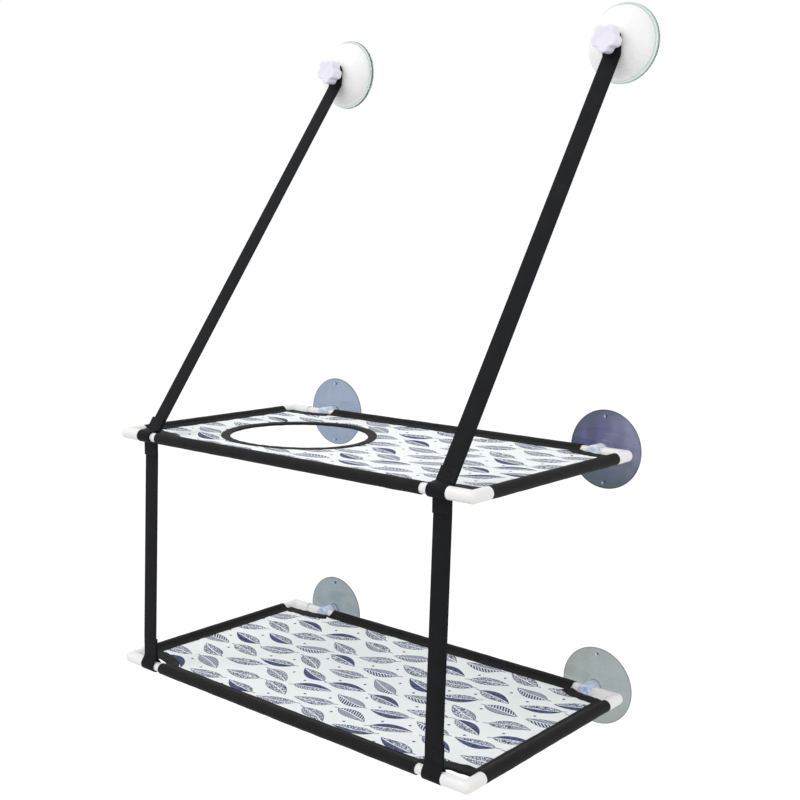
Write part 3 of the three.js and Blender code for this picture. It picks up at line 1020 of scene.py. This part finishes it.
def wrinkleAt(plan, x, y):
    folds = sling
    seed = plan["level"] * 40
    toSide = plan["halfWide"] - abs(x)
    toEnd = plan["halfDeep"] - abs(y - plan["midY"])
    wave, reach = folds["seamWave"], folds["seamReach"]
    height = folds["seamPucker"] * (
        swell(toEnd, reach) * noise.noise((x / wave, math.copysign(3, y - plan["midY"]), seed))
        + swell(toSide, reach) * noise.noise((math.copysign(7, x), y / wave, seed)))
    inner = min(1, max(0, min(toSide, toEnd)) / folds["innerReach"])
    height += folds["broadFold"] * inner * noise.noise((x / folds["broadWide"], y / folds["broadDeep"], seed))
    for corner in plan["corners"]:
        dx, dy = fromCorner(corner, x, y)
        away = math.hypot(dx - corner["wide"] / 2, dy - corner["deep"] / 2)
        bend = noise.noise((dx / folds["rayDrift"], dy / folds["rayDrift"], seed)) * folds["rayBend"]
        ray = math.atan2(dy, dx) * folds["cornerRays"] + bend
        height += folds["cornerFold"] * inner * math.sin(ray) * math.exp(-away / folds["cornerReach"])
    if plan["name"] == "upper":
        spoke = Vector((x, y)) - hole["centre"]
        ray = spoke.normalized() * folds["holeRays"]
        beyond = spoke.length - hole["radius"] - tape["width"]
        height += (folds["seamPucker"] * folds["holeShare"] * swell(beyond, reach)
                   * noise.noise((ray.x, ray.y, seed + 9)))
    # Under a tape the sling follows the tape.
    _, distance, covered, atHole = cutTo(plan, x, y, tape["cornerWidth"], tape["width"])
    bare = 0 if covered else min(1, distance / folds["tapeFade"])
    return height * bare + tapeWave(plan, x, y, atHole) * (1 - bare)


def tapeWave(plan, x, y, atHole):
    seed = plan["level"] * 20
    wave = tape["wave"] * noise.noise((x / tape["waveLong"], y / tape["waveLong"], seed))
    pucker = 0 if atHole else tape["pucker"]
    return wave + pucker * noise.noise((x / tape["puckerLong"], y / tape["puckerLong"], seed + 2))


def cutTo(plan, x, y, cornerMargin, holeMargin):
    # The nearest point of a cut edge and its distance, then whether this point is cut away and
    # whether that edge is the hole's.
    places = []
    power = tape["power"]
    for corner in plan["corners"]:
        dx, dy = fromCorner(corner, x, y)
        if dx > 0 and dy > 0:
            wide, deep = corner["wide"] + cornerMargin, corner["deep"] + cornerMargin
            scale = ((dx / wide) ** power + (dy / deep) ** power) ** (-1 / power)
            places.append((intoDeck(corner, dx * scale, dy * scale), scale > 1, False))
    here = Vector((x, y))
    if plan["name"] == "upper":
        spoke = here - hole["centre"]
        radius = hole["radius"] + holeMargin
        places.append((hole["centre"] + spoke.normalized() * radius, spoke.length < radius, True))
    nearest, cut, atHole = min(places, key=lambda place: (place[0] - here).length)
    return nearest, (nearest - here).length, cut, atHole


def addSling(plan):
    wide, deep = (plan[key] + sling["tucked"] for key in ("halfWide", "halfDeep"))
    bm = bmesh.new()
    matrix = Matrix.Translation((0, plan["midY"], plan["level"])) @ Matrix.Diagonal((wide, deep, 1, 1))
    bmesh.ops.create_grid(bm, x_segments=round(2 * wide / sling["cell"]),
                          y_segments=round(2 * deep / sling["cell"]), size=1, matrix=matrix)
    gone = []
    for vert in bm.verts:
        nearest, distance, cut, _ = cutTo(plan, vert.co.x, vert.co.y, sling["tucked"], sling["tucked"])
        if distance < sling["cell"] * sling["snapWithin"]:
            vert.co.xy = nearest
        elif cut:
            gone.append(vert)
    bmesh.ops.delete(bm, geom=gone, context="VERTS")
    area = sum(face.calc_area() for face in bm.faces)
    uv = bm.loops.layers.uv.new("UVMap")
    for face in bm.faces:
        for loop in face.loops:
            loop[uv].uv = loop.vert.co.xy
    for vert in bm.verts:
        x, y, _ = vert.co
        vert.co.z += sagAt(plan, x, y) + wrinkleAt(plan, x, y) + sling["cloth"] / 2
    bmesh.ops.recalc_face_normals(bm, faces=bm.faces)
    if next(iter(bm.faces)).normal.z < 0:
        bmesh.ops.reverse_faces(bm, faces=bm.faces)
    bmesh.ops.solidify(bm, geom=bm.faces[:], thickness=sling["cloth"])
    for face in bm.faces:
        face.material_index = 0 if face.normal.z > sling["faceUp"] else 1
    piece = addPiece(bm, plan["name"] + "_sling", "printed_cloth", printedCloth, clothBack)
    return piece, area, (2 * wide, 2 * deep)


# Sleeves, tapes and their stitches

sleeve = {
    "cloth": 0.001,
    "layer": 0.0011,
    "reach": 0.0162,
    # Steps back from the seam's edge, each with its height as a share of the layer
    "seam": ((0, 1), (0.002, 1), (0.004, 1), (0.0055, 1.15), (0.007, 1.75)),
    "open": 0.5,
    "ringSteps": 26,
    "step": 0.0034,
    "seamFrom": 0.009,
    "seamRise": 0.006,
    "slack": 0.00028,
    "slackBase": 0.35,
    "slackWave": 0.022,
    "slackTurn": 1.3,
    "creaseWave": 0.007,
    "creaseTurn": 2,
    "edgeWave": 0.0006,
    "edgeLong": 0.013,
    "edgeShort": 0.005,
    "fineShare": 0.5,
    "stitchIn": 0.0026,
}
inwards = {
    "front": Vector((0, 1, 0)),
    "back": Vector((0, -1, 0)),
    "left": Vector((1, 0, 0)),
    "right": Vector((-1, 0, 0)),
}
upward = Vector((0, 0, 1))


def sleeveLine():
    # From the upper edge of the seam, round the tube, to the lower edge.
    ring = tube["radius"] + gap + sleeve["cloth"] / 2
    upper = [Vector((sleeve["reach"] - back, sleeve["layer"] * rise)) for back, rise in sleeve["seam"]]
    lower = [Vector((x, -y)) for x, y in reversed(upper)]
    return upper + arc(ring, sleeve["open"], fullTurn - sleeve["open"], sleeve["ringSteps"]) + lower


def settledAndSewn(bm, stations, settle, seamAt, cloth):
    # Moves the cloth as it settles, and sews a row of stitches on each of its faces.
    for vert in bm.verts:
        vert.co = settle(vert.co)
    for face in (1, -1):
        height = (cloth["layer"] + cloth["cloth"] / 2) * face
        line = [settle(station @ Vector((seamAt, height, 0))) for station in stations]
        stitched(bm, line, [upward * face] * len(line))


def addSleeve(plan, side):
    node = f"{plan['name']}_{side}_sleeve"
    low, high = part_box(node)
    axis = middle(f"{plan['name']}_{side}_tube")
    inward = inwards[side]
    along = Vector((abs(inward.y), abs(inward.x), 0))
    start, end = low.dot(along), high.dot(along)
    base = axis - along * axis.dot(along)
    turn = turnedTo(inward, upward, along)
    count = round((end - start) / sleeve["step"])
    stations = [Matrix.Translation(base + along * (start + (end - start) * i / count)) @ turn
                for i in range(count + 1)]
    bm = swept(thickened(sleeveLine(), sleeve["cloth"]), stations)
    seed = plan["level"] * 30 + sides.index(side) + 1

    def settle(point):
        # Slack cloth round the tube, a wavy seam edge, and the sling's own sag.
        folds = sleeve
        run = point.dot(along)
        arm = point - base - along * run
        angle = math.atan2(arm.z, arm.dot(inward))
        seam = min(1, max(0, (arm.dot(inward) - folds["seamFrom"]) / folds["seamRise"]))
        slack = noise.noise((run / folds["slackWave"], angle * folds["slackTurn"], seed))
        crease = run / folds["creaseWave"] + angle * folds["creaseTurn"]
        slack += folds["fineShare"] * noise.noise((crease, angle * folds["creaseTurn"], seed))
        edge = noise.noise((run / folds["edgeLong"], seed, 0))
        edge += folds["fineShare"] * noise.noise((run / folds["edgeShort"], seed, 5))
        moved = point + arm.normalized() * (folds["slack"] * (slack + folds["slackBase"]) * (1 - seam))
        moved += inward * (folds["edgeWave"] * edge * seam)
        moved.z += sagAt(plan, moved.x, moved.y)
        return moved

    settledAndSewn(bm, stations, settle, sleeve["reach"] - sleeve["stitchIn"], sleeve)
    return addPiece(bm, node, "edge_cloth", edgeCloth, threadCloth)


def tapeSection(width):
    # A strip folded over an edge at x = 0, with the sling between its layers.
    layer, cloth = tape["layer"], tape["cloth"]
    fold = layer + cloth / 2
    upper = [Vector((width * share, layer)) for share in (1, 0.85, 0.7, 0.55, 0.4, 0.25)]
    lower = [Vector((x, -y)) for x, y in reversed(upper)]
    return thickened(upper + arc(layer, math.pi / 2, math.pi * 1.5, 8, (fold, 0)) + lower, cloth)


def tapeStations(plan, line, inside, ring):
    # The section's x points away from the cut-out, whose middle is inside.
    stations = []
    for point, ahead in zip(line, headings(line, ring)):
        out = Vector((ahead.y, -ahead.x))
        if out.dot(point - inside) < 0:
            out = -out
        place = Matrix.Translation((*point, plan["level"]))
        stations.append(place @ turnedTo(Vector((*out, 0)), upward, Vector((*ahead, 0))))
    return stations


def addTape(plan, node, line, inside, ring=False):
    stations = tapeStations(plan, line, inside, ring)
    width = tape["width"] if ring else tape["cornerWidth"]
    bm = swept(tapeSection(width), stations, ring)
    seed = plan["level"] * 20

    def settle(point):
        x, y, _ = point
        moved = point + upward * (sagAt(plan, x, y) + tapeWave(plan, x, y, ring))
        moved.x += tape["wave"] * noise.noise((x / tape["driftLong"], y / tape["driftLong"], seed + 4))
        moved.y += tape["wave"] * noise.noise((x / tape["driftLong"], y / tape["driftLong"], seed + 8))
        return moved

    settledAndSewn(bm, stations, settle, width - tape["stitchIn"], tape)
    return addPiece(bm, node, "edge_cloth", edgeCloth, threadCloth)


def cornerLine(corner):
    # The rounded cut-out, a squarish oval from beside one sleeve to beside the other.
    power, wide, deep, steps = tape["power"], corner["wide"], corner["deep"], tape["cornerSteps"]
    start = math.asin((tape["tuckedY"] / deep) ** (power / 2))
    end = math.acos((tape["tuckedX"] / wide) ** (power / 2))
    points = []
    for i in range(steps + 1):
        angle = start + (end - start) * i / steps
        dx = wide * math.cos(angle) ** (2 / power)
        dy = deep * math.sin(angle) ** (2 / power)
        points.append(intoDeck(corner, dx, dy))
    return spaced(points, tape["step"])


for plan in plans.values():
    panel, area, flat = addSling(plan)
    edging = [addSleeve(plan, side) for side in sides]
    for corner in plan["corners"]:
        edging.append(addTape(plan, corner["name"] + "_binding", cornerLine(corner),
                              Vector((corner["x"], corner["y"]))))
    if plan["name"] == "upper":
        circle = arc(hole["radius"], 0, fullTurn, tape["holeSteps"], hole["centre"])
        edging.append(addTape(plan, "upper_hole_binding", circle, hole["centre"], ring=True))
    print(plan["name"], "sling made, flat", [round(v, 4) for v in flat], "area", round(area, 4))


# Straps

strap = {
    "width": 0.025,
    "thickness": 0.0016,
    "edge": 0.0005,
    "bandStart": 0.0085,
    "seamStart": 0.012,
    "seamEnd": 0.026,
    "tabBelow": 0.0185,
    "tabSweep": math.pi * 0.46,
    "tabSteps": 12,
    "fold": 0.0035,
    "ease": 0.006,
    "bandEase": 0.0012,
    "linkBend": 0.03,
    "step": 0.004,
    "arcSteps": 30,
    "studHole": 0.0034,
    "holeReach": 0.06,
    "stitchIn": 0.0028,
    "stitchFrom": 0.004,
    "hangerBlend": 1.5,  # of the seam's end, up the strap
    "linkBlend": 3,
}
bandRadius = tube["radius"] + gap + strap["thickness"] / 2
layer = strap["thickness"] + gap
upperTube = Vector(middle("upper_front_tube").yz)
lowerTube = Vector(middle("lower_front_tube").yz)
hangerFoot = upperTube + Vector((bandRadius, 0))


def strapSection():
    half, side, edge = strap["width"] / 2, strap["thickness"] / 2, strap["edge"]
    points = []
    for quarter, (x, y) in enumerate(((1, 1), (-1, 1), (-1, -1), (1, -1))):
        start = quarter * math.pi / 2
        points += arc(edge, start, start + math.pi / 2, 3, (x * (half - edge), y * (side - edge)))
    return [(x, y, x) for x, y in points]


def strapStations(line, x):
    return [Matrix.Translation((x, *point)) @ turnedTo((1, 0, 0), (0, ahead.y, -ahead.x), (0, *ahead))
            for point, ahead in zip(line, headings(line))]


def touchAngle(point, side):
    # Where a band from this point touches the round that it goes about.
    return math.atan2(point.y, point.x) + side * math.acos(bandRadius / point.length)


def bandRound(centre, first, last):
    # A band that comes in by two points, goes round a tube and leaves by two more.
    start = touchAngle(first[1], 1)
    end = touchAngle(last[0], -1) + fullTurn
    return [centre + point for point in [*first, *arc(bandRadius, start, end, strap["arcSteps"]), *last]]


def strapAlong(corners, first, last, x):
    # The band's own points need no rounding: only the corners before and after them do.
    radii = [*first, *[0] * (strap["arcSteps"] + 1), *last]
    return swept(strapSection(), strapStations(rounded(corners, radii, strap["step"]), x))


def boxStitch(bm, x, start, end, out):
    # A sewn rectangle with a cross in it, on the strap's face between two (y, z) points.
    inset = strap["stitchIn"]
    half = strap["width"] / 2 - inset
    ahead = (end - start).normalized()
    near = start + ahead * inset + out * (strap["thickness"] / 2)
    far = end - ahead * inset + out * (strap["thickness"] / 2)
    corners = [Vector((x + s * half, *p)) for s, p in ((-1, near), (1, near), (1, far), (-1, far))]
    for a, b in ((0, 1), (1, 2), (2, 3), (3, 0), (0, 2), (1, 3)):
        stitched(bm, [corners[a], corners[b]], [Vector((0, *out))])


def addHanger(side):
    node = f"{side}_hanger_strap"
    x = middle(f"{side}_strap_loop").x
    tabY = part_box(node)[1].y - strap["thickness"] / 2
    peg = middle(f"{side}_washer")
    fold = Vector((tabY, peg.z - strap["tabBelow"]))
    run = (fold - hangerFoot).normalized()
    line = rounded([hangerFoot + run * strap["thickness"], fold, Vector((tabY, peg.z))],
                   [strap["fold"]], strap["step"])
    half = strap["width"] / 2
    line += [Vector((tabY, peg.z + p.y)) for p in arc(half, 0, strap["tabSweep"], strap["tabSteps"])[1:]]
    bm = swept(strapSection(), strapStations(line, x))
    for vert in bm.verts:
        # The tab's end is a round about the stud, and the strap leans to the stud from its foot.
        rise = min(max(vert.co.z - peg.z, 0) / half, 1)
        vert.co.x = x + (vert.co.x - x) * math.sqrt(1 - rise ** 2) + (peg.x - x) * vert.co.z / peg.z
    post = rod(strap["studHole"], 0, strap["holeReach"], 24)
    bm = combined(bm, shaped(post, Matrix.Translation((peg.x, 0, peg.z)) @ toRoom))
    start, end = (hangerFoot + run * strap[key] for key in ("seamStart", "seamEnd"))
    boxStitch(bm, x, start, end, Vector((run.y, -run.x)))
    piece = addPiece(bm, node, "webbing", webbingCloth, threadCloth, ridden=False)
    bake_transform(piece)
    return run


def addLoop(side, run):
    node = f"{side}_strap_loop"
    x = middle(node).x
    out = Vector((-run.y, run.x))
    start, end = strap["bandStart"], strap["seamEnd"]
    above = [Vector((bandRadius, 0)) + out * layer + run * along for along in (end, start)]
    below = [Vector((bandRadius - layer, -along)) for along in (start, end)]
    ease = [strap["bandEase"]]
    bm = strapAlong(bandRound(upperTube, above, below), ease, ease, x)
    boxStitch(bm, x, upperTube + above[1], upperTube + above[0], out)
    boxStitch(bm, x, upperTube + below[0], upperTube + below[1], Vector((-1, 0)))
    addPiece(bm, node, "webbing", webbingCloth, threadCloth)


def addLink(side):
    node = f"{side}_link_strap"
    x = middle(node).x
    start, end = strap["seamStart"], strap["seamStart"] + strap["seamEnd"]
    near = [Vector((-layer / 2, along)) for along in (end, start)]
    far = [Vector((layer / 2, along)) for along in (start, end)]
    corners = [hangerFoot, hangerFoot - Vector((0, strap["seamEnd"])), *bandRound(lowerTube, near, far)]
    bm = strapAlong(corners, [strap["linkBend"], strap["linkBend"], strap["ease"]], [strap["ease"]], x)
    lift = Vector((0, strap["stitchFrom"]))
    for foot, top, out in ((near[1], near[0], Vector((-1, 0))), (far[0], far[1], Vector((1, 0)))):
        boxStitch(bm, x, lowerTube + foot + lift, lowerTube + top, out)
    piece = addPiece(bm, node, "webbing", webbingCloth, threadCloth, ridden=False)
    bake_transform(piece)


for side in hands:
    addLoop(side, addHanger(side))
    addLink(side)
print("straps made")


# Deck cups

hollowPower = 0.7
deckCup = {
    "radius": 0.051,
    "lip": 0.0012,
    "back": 0.0045,
    "backPower": 0.8,
    "hollow": 0.0018,
    "hollowAt": (0, 0.3, 0.5, 0.7, 0.85, 0.95),
    "seal": 0.011,
    "neck": 0.0095,
    "fillet": 0.005,
    "crown": 0.0025,
    "nubIn": 0.008,
    "nubRadius": 0.002,
    "nubRise": 0.002,
    "nubEdge": 0.0008,
    "sides": 96,
}


def hollowLine(radius, depth, shares):
    # A cup's underside, from its middle out to its sealing ring.
    return [(radius * share, depth * math.cos(share * math.pi / 2) ** hollowPower) for share in shares]


def deckCupBody(tip):
    # Radius and height off the pane: shallow hollow, flat sealing ring, thin lip, then up to the neck.
    cup = deckCup
    radius, lip = cup["radius"], cup["lip"]
    seal = radius - cup["seal"]
    shoulder = cup["neck"] + cup["fillet"]
    rim = [(seal, 0), (radius - lip * 0.3, 0), (radius, lip * 0.5), (radius - lip * 0.2, lip)]
    back = [(radius + (shoulder - radius) * share,
             lip + (cup["back"] - lip) * math.sin(share * math.pi / 2) ** cup["backPower"])
            for share in (0.06, 0.2, 0.4, 0.6, 0.8)]
    root = arc(cup["fillet"], math.pi * 1.5, math.pi, 8, (shoulder, cup["back"] + cup["fillet"]))
    crown = arc(cup["crown"], 0, math.pi / 2, 6, (cup["neck"] - cup["crown"], tip - cup["crown"]))
    hollow = hollowLine(seal, cup["hollow"], cup["hollowAt"])
    return turned([*hollow, *rim, *back, *root, *crown, (0, tip)], cup["sides"])


def addDeckCup(deck, side):
    node = f"{deck}_{side}_cup"
    low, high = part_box(node)
    axis = middle(f"{deck}_back_tube")
    cup = deckCup
    bm = deckCupBody(high.y - low.y)
    top = cup["back"] + cup["nubRise"]
    radius, edge = cup["nubRadius"], cup["nubEdge"]
    for sign in (1, -1):
        nub = turned([(0, cup["lip"]), (radius, cup["lip"]), (radius, top - edge),
                      (radius - edge, top), (0, top)], 24)
        shaped(nub, Matrix.Translation((0, sign * (cup["radius"] - cup["nubIn"]), 0)))
        bm = combined(bm, nub, "UNION")
    bore = rod(tube["radius"] + gap, -cup["radius"], cup["radius"], tube["sides"])
    bm = radialUv(combined(bm, shaped(bore, Matrix.Translation((0, 0, -axis.y)) @ alongX)))
    shaped(bm, Matrix.Translation((middle(node).x, 0, axis.z)) @ toRoom)
    addPiece(bm, node, "blue_vinyl", cupVinyl[node])


for deck in plans:
    for side in hands:
        addDeckCup(deck, side)
print("deck cups made")


# Anchor cups with their covers, studs, washers and knobs

anchorCup = {
    "lip": 0.003,
    "back": 0.006,
    "hollow": 0.003,
    "hollowAt": (0, 0.3, 0.55, 0.75, 0.9),
    "seal": 0.01,
    "boss": 0.011,
    "bossTop": 0.018,
    "bossEdge": 0.0022,
    "foot": 0.022,
    "slopePower": 1.6,
    "edge": 0.0006,
    "sides": 96,
}
cover = {
    "wall": 0.0022,
    "boss": 0.01,
    "bossRise": 0.002,
    "hole": 0.0034,
    "steps": 18,
    "edge": 0.0005,
    "sides": 96,
}
stud = {
    "radius": 0.003,
    "flange": 0.006,
    "flangeAt": 0.008,
    "flangeDeep": 0.002,
    "pitch": 0.0015,
    "thread": 0.0005,
    "tip": 0.6,  # of the radius
    "sides": 32,
}
washer = {"edge": 0.0002, "sides": 56}
knob = {
    "radius": 0.017,
    "lobeDepth": 0.0034,
    "lobes": 5,
    "turnedBy": math.pi * 0.29,
    "edge": 0.0016,
    "collar": 0.009,
    "collarHeight": 0.002,
    "overlap": 0.002,
    "wall": 0.0035,
    "dish": 0.0002,
    "brim": 0.0022,
    "dishEdge": 0.0008,
    "boreStart": 0.005,
    "sides": 96,
}
flangeTop = stud["flangeAt"] + stud["flangeDeep"]
studBore = stud["radius"] + gap


def anchorPlace(side):
    centre = middle(f"{side}_washer")
    return Matrix.Translation((centre.x, 0, centre.z)) @ toRoom


def measured(node):
    # Its radius, and how far its back and its front stand off the pane.
    low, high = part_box(node)
    return (high.x - low.x) / 2, -high.y, -low.y


def addAnchorCup(side):
    cup = anchorCup
    node = f"{side}_anchor_cup"
    radius = measured(node)[0]
    coverRadius = measured(f"{side}_cup_cover")[0]
    seal = radius - cup["seal"]
    pocket = stud["flange"] + gap
    rise = cup["bossTop"] - cup["bossEdge"] - cup["back"]
    slope = [(cup["foot"] + (cup["boss"] - cup["foot"]) * share,
              cup["back"] + rise * share ** cup["slopePower"])
             for share in (0, 0.2, 0.4, 0.6, 0.8, 1)]
    rim = [(seal, 0), (radius, 0), (radius, cup["lip"]), (coverRadius, cup["back"])]
    inside = [(studBore, cup["bossTop"]), (studBore, flangeTop + gap), (pocket, flangeTop + gap),
              (pocket, stud["flangeAt"] - gap), (0, stud["flangeAt"] - gap)]
    hollow = hollowLine(seal, cup["hollow"], cup["hollowAt"])
    points = [*hollow, *rim, *slope, (cup["boss"], cup["bossTop"]), *inside]
    bm = radialUv(eased(turned(points, cup["sides"]), cup["edge"], 3))
    addPiece(shaped(bm, anchorPlace(side)), node, "clear_vinyl", clearVinyl)


def domeLine(radius, seat, top, foot):
    end = math.acos(foot / radius)
    return [(radius * math.cos(end * i / cover["steps"]),
             seat + (top - seat) * math.sin(end * i / cover["steps"]) / math.sin(end))
            for i in range(cover["steps"] + 1)]


def addCover(side):
    node = f"{side}_cup_cover"
    radius, seat, face = measured(node)
    top = face - cover["bossRise"]
    under = top - cover["wall"]
    outside = domeLine(radius, seat, top, cover["boss"])
    inside = domeLine(radius - cover["wall"], seat, under, cover["boss"])
    points = [*outside, (cover["boss"], face), (cover["hole"], face), (cover["hole"], under), *inside[::-1]]
    bm = eased(turned(points, cover["sides"], closed=True), cover["edge"], 3)
    addPiece(shaped(bm, anchorPlace(side)), node, "cover_plastic", coverPlastic)


def addStud(side):
    node = f"{side}_stud"
    end = measured(node)[2]
    radius, root = stud["radius"], stud["radius"] - stud["thread"]
    points = [(0, stud["flangeAt"]), (stud["flange"], stud["flangeAt"]), (stud["flange"], flangeTop)]
    for i in range(int((end - flangeTop) / stud["pitch"]) - 1):
        height = flangeTop + stud["pitch"] * i
        points += [(root, height), (radius, height + stud["pitch"] / 2)]
    points += [(root, end - stud["thread"]), (radius * stud["tip"], end), (0, end)]
    addPiece(shaped(turned(points, stud["sides"]), anchorPlace(side)), node, "zinc_steel", zincSteel)


def addWasher(side):
    node = f"{side}_washer"
    radius, back, front = measured(node)
    bm = eased(hollowRod(cover["hole"], radius, back, front, washer["sides"]), washer["edge"])
    addPiece(shaped(bm, anchorPlace(side)), node, "zinc_steel", zincSteel)


def addKnob(side):
    # A lobed outline pushed out, its rims rounded and its face dished a little.
    node = f"{side}_knob"
    _, back, front = measured(node)
    base = back + knob["collarHeight"]
    bm = bmesh.new()
    bmesh.ops.create_circle(bm, segments=knob["sides"], radius=1, cap_ends=True)
    for vert in bm.verts:
        angle = math.atan2(vert.co.y, vert.co.x)
        hollow = (1 - math.cos(knob["lobes"] * (angle - knob["turnedBy"]))) / 2
        vert.co.xy = vert.co.xy * (knob["radius"] - knob["lobeDepth"] * hollow ** 2)
        vert.co.z = base
    grown = bmesh.ops.extrude_face_region(bm, geom=bm.faces[:])["geom"]
    pushed = [part for part in grown if isinstance(part, bmesh.types.BMVert)]
    bmesh.ops.translate(bm, vec=(0, 0, front - base), verts=pushed)
    bmesh.ops.recalc_face_normals(bm, faces=bm.faces)
    eased(bm, knob["edge"], 4, 60)
    face = max(bm.faces, key=lambda f: f.calc_center_median().z)
    for width, depth in ((knob["brim"], 0), (knob["dishEdge"], -knob["dish"])):
        bmesh.ops.inset_region(bm, faces=[face], thickness=width, depth=depth)
    bm = combined(bm, rod(knob["collar"], back, base + knob["overlap"], 56), "UNION")
    bm = combined(bm, rod(studBore, back - knob["boreStart"], front - knob["wall"], 32))
    addPiece(shaped(bm, anchorPlace(side)), node, "knob_plastic", knobPlastic)


for side in hands:
    addAnchorCup(side)
    addCover(side)
    addStud(side)
    addWasher(side)
    addKnob(side)
print("anchor cups made")


# Studio: white all round, one soft key from the room's upper left, one weak fill, and a pale floor

studio = {
    "world": 0.88,
    "keyPlace": (-1.1, -1.9, 2.3),
    "keySize": 1.6,
    "keyPower": 23,
    "fillPlace": (2.4, -1.2, 0.6),
    "fillSize": 1.4,
    "fillPower": 6,
    "floorDrop": 0.8,
    "floorSize": 60,
    "floorGlow": 0.88,
    "floorShade": 0.2,
    "floorColour": (0.8, 0.8, 0.8),
}


def seenShare(tree):
    # 1 for rays from the camera, and for mirrored or refracted ones.
    node = tree.nodes.new("ShaderNodeLightPath")
    direct, glossy, through = (Wire(tree, node.outputs[name]) for name in
                               ("Is Camera Ray", "Is Glossy Ray", "Is Transmission Ray"))
    return direct.most(glossy).most(through)


def addWorld():
    world = bpy.data.worlds.new("studio")
    world.use_nodes = True
    bpy.context.scene.world = world
    tree = world.node_tree
    background = tree.nodes["Background"]
    background.inputs["Color"].default_value = (1, 1, 1, 1)
    strength = seenShare(tree) * (1 - studio["world"]) + studio["world"]
    plug(tree, background.inputs["Strength"], strength)


def addLamp(name, place, size, power):
    data = bpy.data.lights.new(name, "AREA")
    data.energy = power
    data.size = size
    lamp = bpy.data.objects.new(name, data)
    aim = (cadLow + cadHigh) / 2 - Vector(place)
    lamp.matrix_world = Matrix.Translation(place) @ aim.to_track_quat("-Z", "Y").to_matrix().to_4x4()
    bpy.context.scene.collection.objects.link(lamp)


def addFloor():
    bm = bmesh.new()
    place = Matrix.Translation((0, 0, cadLow.z - studio["floorDrop"]))
    bmesh.ops.create_grid(bm, x_segments=1, y_segments=1, size=studio["floorSize"] / 2, matrix=place)
    mesh = bpy.data.meshes.new("floor")
    bm.to_mesh(mesh)
    bm.free()
    floor = bpy.data.objects.new("floor", mesh)
    bpy.context.scene.collection.objects.link(floor)
    material, tree, shader = newMaterial("floor", Roughness=0.9)
    shader.inputs["Base Color"].default_value = colour(*studio["floorColour"])
    glow = put(tree, "Emission", Strength=studio["floorGlow"])
    shade = put(tree, "BsdfDiffuse", Color=colour(*[studio["floorShade"]] * 3))
    seen = tree.nodes.new("ShaderNodeAddShader")
    tree.links.new(glow.socket, seen.inputs[0])
    tree.links.new(shade.socket, seen.inputs[1])
    either = tree.nodes.new("ShaderNodeMixShader")
    plug(tree, either.inputs[0], seenShare(tree))
    tree.links.new(shader.outputs[0], either.inputs[1])
    tree.links.new(seen.outputs[0], either.inputs[2])
    tree.links.new(either.outputs[0], tree.nodes["Material Output"].inputs["Surface"])
    mesh.materials.append(material)


addWorld()
addLamp("key", studio["keyPlace"], studio["keySize"], studio["keyPower"])
addLamp("fill", studio["fillPlace"], studio["fillSize"], studio["fillPower"])
addFloor()
bpy.context.scene.view_settings.view_transform = "Standard"
print("studio lit")
